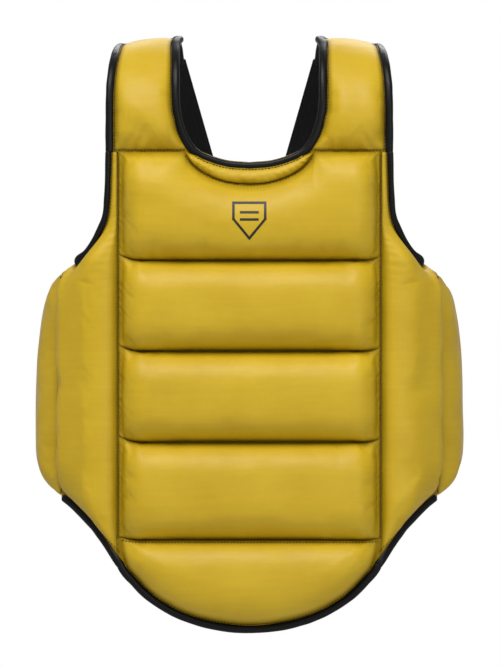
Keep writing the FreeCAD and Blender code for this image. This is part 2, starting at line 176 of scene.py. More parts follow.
def on_side(side):
    along = np.array([math.cos(SIDE_ANGLE), math.sin(SIDE_ANGLE)])
    outward = np.array([math.sin(SIDE_ANGLE), -math.cos(SIDE_ANGLE)])

    def place(s, z, h):
        s, z, h = np.broadcast_arrays(s, z, h)
        x = FOLD[0] + s * along[0] + h * outward[0]
        y = FOLD[1] + s * along[1] + h * outward[1]
        return stacked(x * side, y, z)
    return place


ARCH_TOP = ARCH_LINE + ARCH_R1 * math.pi / 2
ARCH_END = ARCH_TOP + ARCH_R2 * ARCH_OVER


CREST_RISE = 7.5
CREST_THINNING = 9.9


def crest_lift(u):
    """How far the thin, folded-over top of the shoulder rises above the arch."""
    return CREST_RISE * smoothstep(35, 95, u) * (1 - smoothstep(152, 190, u))


def on_shoulder(side):
    """s is the distance from the body's middle, u the distance along the arch from the shoulder seam."""
    def place(s, u, h):
        s, u, h = np.broadcast_arrays(s, u, h)
        first = np.clip((u - ARCH_LINE) / ARCH_R1, 0, math.pi / 2)
        second = np.maximum(u - ARCH_TOP, 0) / ARCH_R2
        turn = first + second
        y = SEW_Y + ARCH_R1 * (1 - np.cos(first)) + ARCH_R2 * np.sin(second)
        z = SHOULDER_Z + np.minimum(u, ARCH_LINE) + ARCH_R1 * np.sin(first) - ARCH_R2 * (1 - np.cos(second))
        y = y - (h + crest_lift(u)) * np.cos(turn)
        z = z + (h + crest_lift(u)) * np.sin(turn)
        crest = smoothstep(20, ARCH_TOP, u) * (1 - smoothstep(ARCH_TOP + 6, ARCH_END, u))
        rise = 3.4 - 6.6 * np.clip((s - 77) / 56, -0.2, 1.1)
        return stacked(s * side, y, z + rise * crest)
    return place


shoulder_outer = lookup([
    (-20, 149.2), (0, 149.2), (60, 148.8), (90, 146.4), (107, 144.2), (128, 141.8),
    (146, 139.2), (165, 135), (200, 132),
])


# ======== meshes
def placed(name, data):
    thing = bpy.data.objects.new(name, data)
    bpy.context.scene.collection.objects.link(thing)
    return thing


def new_object(name, verts, faces, uvs=None, material=None):
    mesh = bpy.data.meshes.new(name)
    mesh.from_pydata([tuple(v) for v in np.asarray(verts) * MM], [], [list(map(int, f)) for f in faces])
    mesh.update()
    if uvs is not None:
        layer = mesh.uv_layers.new(name="UVMap")
        index = np.empty(len(mesh.loops), int)
        mesh.loops.foreach_get("vertex_index", index)
        layer.data.foreach_set("uv", (np.asarray(uvs)[index] * MM).astype(np.float32).ravel())
    mesh.polygons.foreach_set("use_smooth", np.ones(len(mesh.polygons), bool))
    thing = placed(name, mesh)
    if material:
        mesh.materials.append(material)
    return thing


def grid_faces(rows, columns, start=0, flip=False, wrap=False):
    i, j = np.meshgrid(np.arange(rows - 1), np.arange(columns if wrap else columns - 1), indexing="ij")
    k = (j + 1) % columns
    quads = stacked(i * columns + j, (i + 1) * columns + j, (i + 1) * columns + k, i * columns + k)
    quads = quads.reshape(-1, 4) + start
    return quads[:, ::-1] if flip else quads


def rim(rows, columns):
    """Grid indices round the border, in order."""
    top = [(0, j) for j in range(columns)]
    right = [(i, columns - 1) for i in range(1, rows)]
    bottom = [(rows - 1, j) for j in range(columns - 2, -1, -1)]
    left = [(i, 0) for i in range(rows - 2, 0, -1)]
    return np.array([i * columns + j for i, j in top + right + bottom + left])


def shell(name, front, back, uv, material, mirror=1):
    """A closed piece between two grids with the same layout."""
    rows, columns = front.shape[:2]
    count = rows * columns
    flip = mirror < 0
    border = rim(rows, columns)
    ahead = np.roll(border, -1)
    edge = stacked(border, ahead, ahead + count, border + count)
    faces = [grid_faces(rows, columns, 0, not flip), grid_faces(rows, columns, count, flip)]
    faces.append(edge[:, ::-1] if flip else edge)
    verts = np.vstack([front.reshape(-1, 3), back.reshape(-1, 3)])
    uvs = np.vstack([uv.reshape(-1, 2)] * 2)
    thing = new_object(name, verts, np.vstack(faces), uvs, material)
    fix_normals(thing)
    return thing


def fixed(thing, body, slot, *nodes):
    """Says which body a piece rides on and which CAD nodes it stands for. slot is not used."""
    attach(thing, body)
    if nodes:
        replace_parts(thing, *nodes)
    return thing


def fix_normals(thing):
    """Turns every face outwards, whatever way round its grid was laid."""
    work = bmesh.new()
    work.from_mesh(thing.data)
    bmesh.ops.recalc_face_normals(work, faces=work.faces)
    work.to_mesh(thing.data)
    work.free()


def subdivide(thing):
    """Smooths a piece once and keeps the result as its mesh."""
    made = thing.modifiers.new("Subdivision", "SUBSURF")
    made.levels = made.render_levels = 1
    graph = bpy.context.evaluated_depsgraph_get()
    smoothed = bpy.data.meshes.new_from_object(thing.evaluated_get(graph))
    thing.modifiers.clear()
    thing.data = smoothed


def dense_ends(length, edge, steps, spacing):
    """Distances from 0 to length, close together at both ends, where a pad curves down to its seam."""
    edge = min(edge, length * 0.5)
    turn = np.linspace(0, math.pi / 2, steps + 1)
    start = edge * (1 - np.cos(turn))
    count = max(1, int(round((length - 2 * edge) / spacing)))
    inner = np.linspace(edge, length - edge, count + 1)[1:-1] if length > 2 * edge + 0.01 else []
    ends = length - start[::-1]
    if length <= 2 * edge + 0.01:
        ends = ends[1:]
    return np.concatenate([start, inner, ends])


def crown(distance, reach, sharp=2.2, power=0.5):
    """A pad's height, 0 to 1, at a distance from its seam: steep at the seam and flat beyond reach."""
    t = np.clip(distance / reach, 0, 1)
    return (1 - (1 - t) ** sharp) ** power


def distance_to(s, z, line):
    """Shortest flat distance from each point to a line of points."""
    line = np.asarray(line, float)
    a, d = line[:-1], np.diff(line, axis=0)
    p = stacked(s, z).reshape(-1, 1, 2)
    t = np.clip(((p - a) * d).sum(-1) / np.maximum((d * d).sum(-1), 1e-9), 0, 1)
    near = a + t[..., None] * d
    return np.linalg.norm(p - near, axis=-1).min(1).reshape(np.shape(s))


def waves(s, z, size, seed):
    """Gentle random swells, about -1 to 1, with features of about size mm."""
    random = np.random.default_rng(seed)
    total = np.zeros(np.broadcast(s, z).shape)
    for _ in range(7):
        turn, phase = random.uniform(0, 2 * math.pi, 2)
        wave = 2 * math.pi / (size * random.uniform(0.7, 1.6))
        total = total + np.sin(wave * (s * math.cos(turn) + z * math.sin(turn)) + phase)
    return total / 3.2


def settle(points, ease, side=1, swell=0.025, pressure=4.0, cap=1.8, frames=14, stiff=0.4):
    """Runs cloth over a grid pinned at its border, with a little more cloth than the shape needs.

    It swells and puckers at the seams. ease is 0 where it must stay on its shape and 1 where it is
    free. Returns the settled grid, in mm."""
    rows, columns = points.shape[:2]
    thing = new_object("cloth_work", points.reshape(-1, 3), grid_faces(rows, columns, flip=side < 0))
    scene = bpy.context.scene
    pins = thing.vertex_groups.new(name="pin")
    pins.add([int(i) for i in rim(rows, columns)], 1.0, "REPLACE")
    cloth = thing.modifiers.new("Cloth", "CLOTH")
    setup = cloth.settings
    setup.quality = 5
    setup.mass = 0.15
    setup.tension_stiffness = setup.compression_stiffness = 20
    setup.shear_stiffness = 8
    setup.bending_stiffness = stiff
    setup.vertex_group_mass = "pin"
    setup.shrink_min = -swell
    setup.use_pressure = True
    setup.uniform_pressure_force = pressure
    setup.effector_weights.gravity = 0
    cloth.collision_settings.use_collision = False
    cloth.point_cache.frame_start, cloth.point_cache.frame_end = 1, frames
    for number in range(1, frames + 1):
        scene.frame_set(number)
    graph = bpy.context.evaluated_depsgraph_get()
    settled = thing.evaluated_get(graph).to_mesh()
    moved = np.empty(len(settled.vertices) * 3)
    settled.vertices.foreach_get("co", moved)
    moved = moved.reshape(points.shape) / MM
    bpy.data.objects.remove(thing)
    scene.frame_set(1)
    step = moved - points
    size = np.linalg.norm(step, axis=-1, keepdims=True)
    step = step / np.maximum(size, 1e-6) * (cap * np.tanh(size / cap))
    return points + step * ease[..., None]


# ======== materials
def srgb(r, g, b):
    """A colour given as on a screen, 0 to 255, as the linear light that materials take."""
    levels = [c / 255 for c in (r, g, b)]
    return tuple(((v + 0.055) / 1.055) ** 2.4 if v > 10 / 255 else v / 12.92 for v in levels) + (1.0,)


def grey(level):
    return srgb(level, level, level)


def add_node(tree, kind, inputs, **settings):
    """Adds a node and returns its outputs. An input is a value or another node's output."""
    node = tree.nodes.new("ShaderNode" + kind)
    for key, value in settings.items():
        setattr(node, key, value)
    for key, value in inputs.items():
        feed(tree, node.inputs[key], value)
    return node.outputs


def feed(tree, socket, value):
    if isinstance(value, bpy.types.NodeSocket):
        tree.links.new(value, socket)
    else:
        socket.default_value = value


def add_ramp(tree, source, stops):
    """Colours along a range of values, as (position, colour)."""
    out = add_node(tree, "ValToRGB", {"Fac": source})["Color"]
    elements = out.node.color_ramp.elements
    while len(elements) < len(stops):
        elements.new(0.5)
    for element, (position, colour) in zip(elements, stops):
        element.position = position
        element.color = colour
    return out


class Look:
    """A Principled material, put together over the surface's own flat coordinates."""

    def __init__(self, name, rough):
        self.made = bpy.data.materials.new(name)
        self.made.use_nodes = True
        self.tree = self.made.node_tree
        self.shader = self.tree.nodes["Principled BSDF"]
        self.uv = add_node(self.tree, "TexCoord", {})["UV"]
        self.set("Roughness", rough)

    def set(self, name, value):
        feed(self.tree, self.shader.inputs[name], value)

    def pattern(self, kind, scale, stretch=(1, 1, 1), **settings):
        """A texture's strength over the surface. Settings with a capital are its inputs."""
        mapped = add_node(self.tree, "Mapping", {"Vector": self.uv, "Scale": stretch})["Vector"]
        inputs = {"Vector": mapped, "Scale": scale}
        inputs.update({key: settings.pop(key) for key in list(settings) if key[0].isupper()})
        out = add_node(self.tree, "Tex" + kind, inputs, **settings)
        return out["Distance" if kind == "Voronoi" else "Fac"]

    def ramp(self, source, *stops):
        return add_ramp(self.tree, source, stops)

    def times(self, a, b):
        """One colour multiplied by another."""
        inputs = {0: 1.0, 6: a, 7: b}
        return add_node(self.tree, "Mix", inputs, data_type="RGBA", blend_type="MULTIPLY")[2]

    def between(self, source, low, high):
        return add_node(self.tree, "MapRange", {"Value": source, "To Min": low, "To Max": high})["Result"]

    def bumps(self, *layers):
        """Stacks bump layers of (height, strength, distance in metres)."""
        below = {}
        for height, strength, distance in layers:
            inputs = {"Height": height, "Strength": strength, "Distance": distance, **below}
            below = {"Normal": add_node(self.tree, "Bump", inputs)["Normal"]}
        self.set("Normal", below["Normal"])


def gold_leather():
    """Synthetic leather, patchy and finely grained, with painted shade down in its seams: darker colour and
    less reflection there.
    """
    look = Look("gold_leather", 0.42)
    white = (1, 1, 1, 1)
    patches = look.pattern("Noise", 14, Detail=4, Roughness=0.55)
    base = look.ramp(patches, (0.32, srgb(196, 162, 14)), (0.68, srgb(206, 173, 28)))
    streaks = look.pattern("Noise", 60, (0.25, 3.0, 1), Detail=5, Roughness=0.7)
    base = look.times(base, look.ramp(streaks, (0.3, (0.93, 0.93, 0.92, 1)), (0.7, white)))
    threads = look.pattern("Noise", 220, (3.0, 0.3, 1), Detail=3, Roughness=0.6)
    base = look.times(base, look.ramp(threads, (0.35, (0.985, 0.985, 0.985, 1)), (0.65, white)))
    # Painted shade: a per-point value, 0 deep in the seams and 1 away from them, darkens the colour and
    # turns down the reflection in the seams.
    away = add_node(look.tree, "Attribute", {}, attribute_name="painted_shade")["Fac"]
    shade = look.ramp(away, (0.0, (0.44, 0.42, 0.22, 1)), (0.5, (0.76, 0.75, 0.6, 1)), (1.0, white))
    look.set("Base Color", look.times(base, shade))
    look.set("Specular IOR Level", look.between(away, 0.1, 0.42))
    look.set("Roughness", look.between(look.pattern("Noise", 35, Detail=3), 0.42, 0.58))
    grain = look.pattern("Voronoi", 900, Randomness=1.0)
    soft = look.pattern("Noise", 110, Detail=4, Roughness=0.6)
    look.bumps((soft, 0.14, 0.0012), (grain, 0.08, 0.0003))
    return look.made


def tape_leather():
    look = Look("tape_black", 0.36)
    look.set("Base Color", grey(9))
    look.set("Specular IOR Level", 0.22)
    soft = look.pattern("Noise", 160, Detail=3)
    look.bumps((soft, 0.35, 0.0008), (look.pattern("Voronoi", 1100), 0.3, 0.0003))
    return look.made


def lining_knit():
    look = Look("lining_knit", 0.85)
    columns = look.pattern("Wave", 330, bands_direction="X", Distortion=1.2)
    courses = look.pattern("Wave", 260, bands_direction="Y", Distortion=1.5)
    shade = look.pattern("Noise", 25, Detail=3)
    look.set("Base Color", look.ramp(shade, (0.3, grey(16)), (0.7, grey(29))))
    look.set("Sheen Weight", 0.25)
    look.set("Specular IOR Level", 0.25)
    look.bumps((columns, 0.5, 0.0004), (courses, 0.5, 0.0004))
    return look.made


def elastic_webbing():
    look = Look("elastic_black", 0.6)
    ribs = look.pattern("Wave", 62, bands_direction="X", Distortion=0.0)
    picks = look.pattern("Wave", 420, bands_direction="Y", Distortion=0.6)
    look.set("Base Color", look.ramp(ribs, (0.0, grey(11)), (1.0, grey(16))))
    look.set("Specular IOR Level", 0.3)
    look.bumps((ribs, 0.5, 0.0006), (picks, 0.45, 0.0003))
    return look.made


def loop_pile():
    look = Look("loop_pile", 0.95)
    fuzz = look.pattern("Noise", 800, Detail=6, Roughness=0.8)
    look.set("Base Color", look.ramp(fuzz, (0.35, grey(9)), (0.7, grey(40))))
    look.set("Sheen Weight", 0.6)
    look.bumps((fuzz, 1.0, 0.0012))
    return look.made


def thread(name, rough, light, dark):
    look = Look(name, rough)
    twist = look.pattern("Wave", 900, bands_direction="DIAGONAL")
    look.set("Base Color", look.ramp(twist, (0.2, dark), (0.8, light)))
    look.bumps((twist, 0.6, 0.0002))
    return look.made


def hook_tape():
    look = Look("hook_black", 0.5)
    hooks = look.pattern("Voronoi", 900, Randomness=0.25)
    look.set("Base Color", look.ramp(hooks, (0.1, srgb(34, 34, 35)), (0.6, grey(10))))
    look.bumps((hooks, 1.0, 0.001))
    return look.made


def printed_ink():
    look = Look("print_black", 0.5)
    wear = look.pattern("Noise", 300, Detail=4)
    look.set("Base Color", look.ramp(wear, (0.25, srgb(30, 28, 20)), (0.6, srgb(16, 15, 13))))
    look.bumps((wear, 0.2, 0.0003))
    return look.made


gold, tape_black, knit, elastic = gold_leather(), tape_leather(), lining_knit(), elastic_webbing()
pile, hook_black, print_black = loop_pile(), hook_tape(), printed_ink()
thread_gold = thread("thread_gold", 0.55, srgb(112, 86, 20), srgb(60, 44, 8))
thread_black = thread("thread_black", 0.5, srgb(40, 40, 38), grey(12))


# ======== padded panels
BAND_HEIGHT = 29.0
WING_HEIGHT = 22.5
SIDE_HEIGHT = 20.6
SHOULDER_HEIGHT = 12.0
ROLL_HEIGHT = 10.0
PAD_BACK = 0.3
DENT_DEPTH, DENT_IN = 4.5, 13

# ---- how far from a panel's seam or edge things start ----
SEAM_GAP = 1.1
SEAM_MARGIN = 4.2
PAD_HALF = SEAM_X - SEAM_GAP
TAPE_INSET = 5.5
FLANGE = 4.0
UNPADDED = 9.6
TAPE_ROW = 8.8


def seam_line(x, base):
    """A cross seam, pulled up where it meets the side seams."""
    left = np.clip(1 - (x + SEAM_X) / 27, 0, 1) ** 2
    right = np.clip(1 - (SEAM_X - x) / 22, 0, 1) ** 2
    rise = np.where(base == BELLY_Z, 0.6, 1.0)
    return base + rise * (6.5 * left + 3.5 * right)


def ruled(across, low, high, rows):
    """Flat positions between two curves over the same places across; rows run from 0 to 1."""
    s = np.repeat(np.asarray(across)[:, None], len(rows), 1)
    z = low[:, None] + (high - low)[:, None] * np.asarray(rows)[None, :]
    return s, z


def hem_line(reach, count):
    """The belly's hem as points, from one side to the other."""
    x = np.linspace(-reach, reach, count)
    return stacked(x, belly_hem(x))


def pad(name, body, s, z, height, place, free, painted_shade_level, side=1, **cloth):
    """A padded piece over a grid of flat positions: domed by height in front and flat behind.

    free is how loose the cloth is. The next grid is painted shade on the cover: 0 deep in its seams, where
    the colour is painted darker and the reflection turned down, and 1 away from them."""
    front = settle(place(s, z, height), free, side, **cloth)
    behind = place(s, z, np.full(s.shape, PAD_BACK))
    thing = shell(name, front, behind, stacked(s, z), gold, side)
    # Painted shade: a per-point level that darkens the cover's colour and dims its reflection in the seams.
    values = np.clip(np.broadcast_to(painted_shade_level, s.shape), 0, 1).ravel()
    layer = thing.data.attributes.new("painted_shade", "FLOAT", "POINT")
    layer.data.foreach_set("value", np.concatenate([values, values * 0]).astype(np.float32))
    subdivide(thing)
    if body:
        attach(thing, body)
    return thing


def loose(edge):
    """How free the cloth is near its seams: held at the seam, loosest beside it, firm over the foam."""
    return crown(edge, 9) * (0.25 + 0.75 * np.exp(-((edge / 17) ** 2)))


def puckers(along, inwards, pitch, reach, seed):
    """Small gathers across a seam, -1 to 0, fading inwards."""
    random = np.random.default_rng(seed)
    phase = np.interp(along, np.arange(-400, 401, 20), random.uniform(-2.2, 2.2, 41))
    depth = np.interp(along, np.arange(-400, 401, 13), random.uniform(0.3, 1.0, 62))
    wave = 0.5 + 0.5 * np.sin(2 * math.pi * along / pitch + phase + inwards / 5)
    return -depth * wave * np.exp(-((inwards / reach) ** 2)) * crown(inwards, 2.5)


def band_end(ends):
    """How a band rises, 0 to 1, from the flat sewn margin along its side seam."""
    return 0.06 * crown(ends, 2) + 0.94 * crown(ends - SEAM_MARGIN, 26, 2.3, 0.55)


def band_columns():
    """Places across the front, closer together beside the side seams."""
    return dense_ends(2 * (SEAM_X - SEAM_GAP), 24, 15, 3.6) - SEAM_X + SEAM_GAP


def band(name, low_z, high_z, seed):
    """One quilted band across the front."""
    x = band_columns()
    rows = dense_ends(1.0, 0.26, 9, 0.026)
    s, z = ruled(x, seam_line(x, low_z) + 0.3, seam_line(x, high_z) - 0.3, rows)
    ends = PAD_HALF - np.abs(s)
    up = np.broadcast_to(rows, s.shape)
    profile = crown(np.minimum(up, 1 - up) * 2, 1.0, 2.9)
    height = BAND_HEIGHT * profile * band_end(ends)
    height += 0.4 * waves(s, z, 60, seed) * crown(ends, 20) * profile
    height -= 2.6 * puckers(z + 0.8 * ends, ends, 8.0, 9.0, seed) * crown(np.minimum(up, 1 - up), 0.1)
    dent = np.exp(-(((ends - DENT_IN) / 7) ** 2)) * np.exp(-(((1 - up) / 0.13) ** 2))
    height -= DENT_DEPTH * dent * crown(1 - up, 0.06)
    edge = np.minimum(up, 1 - up) * (high_z - low_z)
    free = loose(np.minimum(ends, edge))
    # The last grid is painted shade: 0 at the seams, where the cover is painted darker, and 1 past 9 mm
    # from the side seams and 4 mm from the cross seams.
    return pad(name, "front", s, z, height + 0.4, on_front(), free, np.minimum(ends / 9, edge / 4))


ROLL_END = math.acos((ROLL_Z - SHOULDER_Z) / ROLL_B)


def roll_edge(count):
    """The stitched line under the neck roll."""
    turn = np.linspace(-ROLL_END, ROLL_END, count)
    return stacked(ROLL_A * np.sin(turn), ROLL_Z - ROLL_B * np.cos(turn))


roll_line = roll_edge(90)
roll_end_x = roll_line[-1, 0]


def chest_pad():
    """The top pad, cut out round the neck roll."""
    seam = 24 * (1 - np.cos(np.linspace(0, math.pi / 2, 16)))
    outer = PAD_HALF - np.concatenate([seam, np.linspace(24, PAD_HALF - roll_end_x, 14)[1:]])
    inner = roll_end_x * (1 - np.linspace(0, 1, 26)[1:] ** 1.25)
    right = np.concatenate([outer, inner])
    x = np.concatenate([-right, right[-2::-1]])
    rows = dense_ends(1.0, 0.26, 9, 0.028)
    below_roll = ROLL_Z - ROLL_B * np.sqrt(np.clip(1 - (x / ROLL_A) ** 2, 0, 1))
    top = np.where(np.abs(x) < roll_end_x, below_roll, SHOULDER_Z) - 0.5
    even = np.mean([np.interp(x + step, x, top) for step in np.linspace(-22, 22, 23)], axis=0)
    s, z = ruled(x, seam_line(x, CHEST_Z) + 0.25, even, rows)
    z = z + (top - even)[:, None] * rows[None, :] ** 6
    ends = PAD_HALF - np.abs(s)
    low = z - seam_line(s, CHEST_Z)
    shoulder_line = np.array([(roll_end_x, SHOULDER_Z), (SEAM_X, SHOULDER_Z)])
    to_roll = distance_to(s, z, roll_line) + 0.01
    to_seam = distance_to(np.abs(s), z, shoulder_line) + 0.01
    high = (to_roll**-5 + to_seam**-5) ** -0.2
    height = BAND_HEIGHT * crown(low, 47, 2.9) * band_end(ends) * crown(high, 44, 2.2, 0.6)
    height += 0.5 * waves(s, z, 60, 3) * crown(ends, 20) * crown(high, 20) * crown(low, 20)
    height -= 2.6 * puckers(z + 0.8 * ends, ends, 8.0, 9.0, 31) * crown(high, 8) * crown(low, 8)
    height += 0.6 * puckers(s, high, 9.0, 7.0, 32) * crown(ends, 12)
    free = loose(least(ends, low, high))
    # Painted shade: 0 at the seams, where the cover's colour is painted darker, rising to 1 inside.
    seam_shade_level = least(ends / 9, low / 4, high / 7)
    return pad("chest_pad", "front", s, z, height + 0.4, on_front(), free, seam_shade_level)


def belly_pad():
    x = band_columns()
    rows = dense_ends(1.0, 0.3, 10, 0.028)
    s, z = ruled(x, belly_hem(x, 1.5), seam_line(x, BELLY_Z) - 0.5, rows)
    edge = np.maximum(distance_to(s, z, hem_line(HEM_A, 200)) - UNPADDED, 0)
    top = seam_line(s, BELLY_Z) - z
    ends = PAD_HALF - np.abs(s)
    height = 0.6 + 28.0 * crown(edge, 44, 2.3) * crown(top, 44, 2.8) * band_end(ends)
    height += 0.4 * waves(s, z, 55, 8) * crown(edge, 25) * crown(top, 25)
    height += 0.7 * puckers(s, edge, 9.0, 6.0, 33) * crown(ends, 12)
    free = loose(least(edge, top, ends))
    # Painted shade: 0 at the seams and the hem, where the cover's colour is painted darker, rising to 1
    # inside.
    seam_shade_level = least(ends / 9, edge / 5, top / 4)
    return pad("belly_pad", "belly", s, z, height, on_front(), free, seam_shade_level)


MARK_Z = 137.0
MARK_STROKE = 2.6


def mark(chest):
    """A plain printed shield with two bars, lying on the chest pad."""
    outline = [(-16.5, 17), (16.5, 17), (16.5, 0), (0, -20), (-16.5, 0), (-16.5, 17)]
    rows = [outline, [(-8.5, 7), (8.5, 7)], [(-8.5, -0.5), (8.5, -0.5)]]
    tree = BVHTree.FromObject(chest, bpy.context.evaluated_depsgraph_get())
    verts, faces, uvs = [], [], []
    for corners in rows:
        for (x0, z0), (x1, z1) in zip(corners, corners[1:]):
            length = math.hypot(x1 - x0, z1 - z0)
            along = np.array([x1 - x0, z1 - z0]) / length
            aside = np.array([-along[1], along[0]]) * MARK_STROKE / 2
            count = int(length / 1.2) + 2
            start = len(verts)
            for run in np.linspace(-MARK_STROKE / 2, length + MARK_STROKE / 2, count):
                for way in (-1, 1):
                    x, z = np.array([x0, z0]) + along * run + aside * way
                    hit = tree.ray_cast(Vector((x, -200, z + MARK_Z)) * MM, Vector((0, 1, 0)))[0]
                    verts.append((x, hit.y / MM - 0.22, z + MARK_Z))
                    uvs.append((x, z))
            corner = np.arange(start, start + 2 * count - 2, 2)
            faces += stacked(corner, corner + 1, corner + 3, corner + 2).tolist()
    fixed(new_object("chest_mark", verts, faces, np.array(uvs), print_black), "front", "edge_tape")


def neck_roll():
    across = dense_ends(1.0, 0.5, 7, 0.1)
    turn = np.linspace(-ROLL_END, ROLL_END, 76)
    low = roll_edge(76)
    neck_end = float(neck_x(SHOULDER_Z))
    x = neck_end * np.sin(turn) / math.sin(ROLL_END)
    edge = stacked(x, neck_z(np.abs(x)))
    high = offset(edge[::-1], 5.5)[::-1]
    high[:, 1] = np.minimum(high[:, 1], SHOULDER_Z)
    flat = low[:, None] + (high - low)[:, None] * across[None, :, None]
    s, z = flat[..., 0], flat[..., 1]
    up = np.broadcast_to(across, s.shape)
    width = np.linalg.norm(high - low, axis=1)[:, None]
    ends = np.minimum(np.abs(turn + ROLL_END), np.abs(ROLL_END - turn))[:, None] * 55
    height = ROLL_HEIGHT * np.minimum(width / 14, 1) * crown(up * 2, 1.0, 2.2)
    height = height * crown((1 - up) * 2, 1.0, 1.8) * crown(ends, 14, 2.0)
    run = np.broadcast_to(turn[:, None] * 58, s.shape)
    height += 1.3 * puckers(run, up * width, 8.5, 7.0, 34)
    height += 0.8 * puckers(run + 170, (1 - up) * width, 10.0, 6.0, 35)
    free = crown(np.minimum(up, 1 - up), 0.3) * crown(np.broadcast_to(ends, s.shape), 8)
    # Painted shade: 0 at the roll's seams and ends, where the cover's colour is painted darker, rising to 1
    # inside.
    seam_shade_level = np.minimum(np.minimum(up, 1 - up) * width / 3, ends / 6)
    height += 0.5
    return pad("neck_roll", "front", s, z, height, on_front(), free, seam_shade_level, cap=1.5, swell=0.05)


# ---- wings ----
hem_across = np.linspace(-6, WING_WIDTH + 4, 60)
wing_hem_line = stacked(hem_across, wing_hem_z(hem_across))
arm_out = np.linspace(WING_WIDTH + 2, 23.4, 60)
arm_up = np.linspace(136.5, 262, 50)
armhole_line = np.vstack([
    stacked(arm_out, armhole_z(arm_out)),
    stacked(armhole_s(arm_up), arm_up),
])


def wing_grid(inset=1.2):
    """Flat positions over a whole wing, from its hem up to the shoulder seam."""
    across = dense_ends(1.0, 0.26, 8, 0.036)
    far = WING_WIDTH - 0.3
    fold_z = float(armhole_z(far)) - 0.4
    hem_seam, hem_fold = float(wing_hem_z(0.0)) + inset, float(wing_hem_z(far)) + inset
    low = dense_ends(1.0, 0.1, 5, 0.0155)
    out = np.linspace(far, 23.4, 30)[1:]
    up = np.linspace(136.5, SHOULDER_Z - 0.6, 18)[1:]
    tuck = inset * smoothstep(70, 56, out)
    right = np.vstack([
        stacked(np.full(low.shape, far), hem_fold + (fold_z - hem_fold) * low),
        stacked(out - tuck * 0.5, armhole_z(out) - tuck),
        stacked(armhole_s(up) - inset, up),
    ])
    left = np.concatenate([
        hem_seam + (66 - hem_seam) * low,
        np.interp(out[::-1], [23.4, 37, 58, far], [140, 122, 97, 66])[::-1],
        np.interp(up, [136.5, SHOULDER_Z], [140, SHOULDER_Z]),
    ])
    start = SEAM_GAP
    s = start + (right[:, 0][None, :] - start) * across[:, None]
    z = left[None, :] + (right[:, 1] - left)[None, :] * across[:, None]
    bow = wing_hem_z(s[:, 0]) + inset - (hem_seam + (hem_fold - hem_seam) * across)
    fade = np.concatenate([(1 - low) ** 2, np.zeros(len(out) + len(up))])
    return s, z + bow[:, None] * fade[None, :]


def wing_height(s, z, seed):
    """A wing's height, how loose its cover is, and its painted seam shade."""
    seam, fold = s - SEAM_GAP, np.maximum(WING_WIDTH - 0.6 - s, 0)
    hem = np.maximum(distance_to(s, z, wing_hem_line) - UNPADDED, 0)
    arm = distance_to(s, z, armhole_line)
    hidden_tape = smoothstep(54, 68, s)
    arm = np.maximum(arm - UNPADDED * (1 - hidden_tape), 0)
    fold = np.where(z > 81, np.maximum(fold, 14 * smoothstep(81, 95, z)), fold)
    tall = smoothstep(142, 92, z)
    height = WING_HEIGHT * crown(seam, 26, 2.2) * crown(fold, 20, 2.0, 0.8) * crown(hem, 42, 2.2)
    height = height * crown(arm, 30, 2.2, 0.5 + 0.35 * hidden_tape) * tall
    height += 1.6 * crown(seam, 6) * crown(arm, 5) * (1 - tall)
    inside = crown(seam, 15) * crown(fold, 15) * crown(hem, 15) * crown(arm, 12)
    height += 0.5 * waves(s, z, 55, seed) * inside
    height += 0.9 * puckers(z, seam, 8.0, 6.0, seed + 1) * crown(hem, 6)
    height += 0.7 * puckers(s, hem, 9.0, 6.0, seed + 2)
    # Painted shade: low at the seams, fold, hem and armhole, where the cover's colour is painted darker.
    seam_shade_level = least(0.3 + seam / 3, fold / 3, np.minimum(hem, arm + 3 * hidden_tape) / 4)
    return height + 0.5, inside, seam_shade_level


def wing_pad(name, side):
    s, z = wing_grid()
    height, inside, seam_shade_level = wing_height(s, z, 40 + side)
    place = on_wing(side)
    thing = pad("wing_pad_" + name, None, s, z, height, place, inside, seam_shade_level, side, swell=0.02)
    return blend_wing(thing, name, side)


def blend_wing(thing, name, side):
    """Bakes the piece's placement into its mesh; it rides on no body."""
    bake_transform(thing)
    return thing


# ---- side pads ----
CORNER = 16.0


def corner_drop(s):
    """How much the rear corners take off the side pad's height."""
    past = np.clip(s - (SIDE_WIDTH - CORNER), 0, CORNER)
    return CORNER - np.sqrt(CORNER**2 - past**2)


def side_edges(s, inset=0.0):
    return side_hem_z(s) + corner_drop(s) + inset, side_top_z(s) - corner_drop(s) - inset


def side_grid(inset=0.8):
    s = dense_ends(SIDE_WIDTH - 0.3 - inset, 22, 9, 3.6) + 0.3
    low, high = side_edges(s, inset)
    return ruled(s, low, high, dense_ends(1.0, 0.12, 8, 0.0165))


def side_pad(name, side):
    s, z = side_grid()
    places = np.linspace(0, SIDE_WIDTH, 120)
    low, high = side_edges(places)
    top = distance_to(s, z, stacked(places, high))
    hem = distance_to(s, z, stacked(places, low))
    rear = SIDE_WIDTH - s
    fold = s - 0.8
    height = SIDE_HEIGHT * crown(fold, 24, 2.0, 0.8) * crown(top, 135, 2.2)
    height = height * crown(hem, 32, 2.3) * crown(rear, 36, 2.2)
    inside = crown(fold, 15) * crown(top, 15) * crown(hem, 15) * crown(rear, 15)
    height += 0.6 * waves(s, z, 60, 50 + side) * inside + 0.8 * puckers(z, fold, 9.0, 7.0, 52 + side) + 0.5
    # Painted shade: low at the fold, the rear and the edges, where the cover's colour is painted darker.
    seam_shade_level = least(fold / 3, rear / 4, np.minimum(top, hem) / 4 + 0.3)
    body, place = "side_" + name, on_side(side)
    return pad("side_pad_" + name, body, s, z, height, place, inside, seam_shade_level, side, swell=0.02)


# ---- shoulders ----
def shoulder_in(u):
    """The shoulder's inner edge. It bulges where the neck tape is bunched, and comes inwards behind."""
    edge = neck_x(SHOULDER_Z + np.minimum(u, 60.0))
    knot = 3.6 * np.exp(-(((u - 139) / 6.5) ** 2))
    return edge - knot - 5.0 * np.clip((u - 150) / 44, 0, 1)


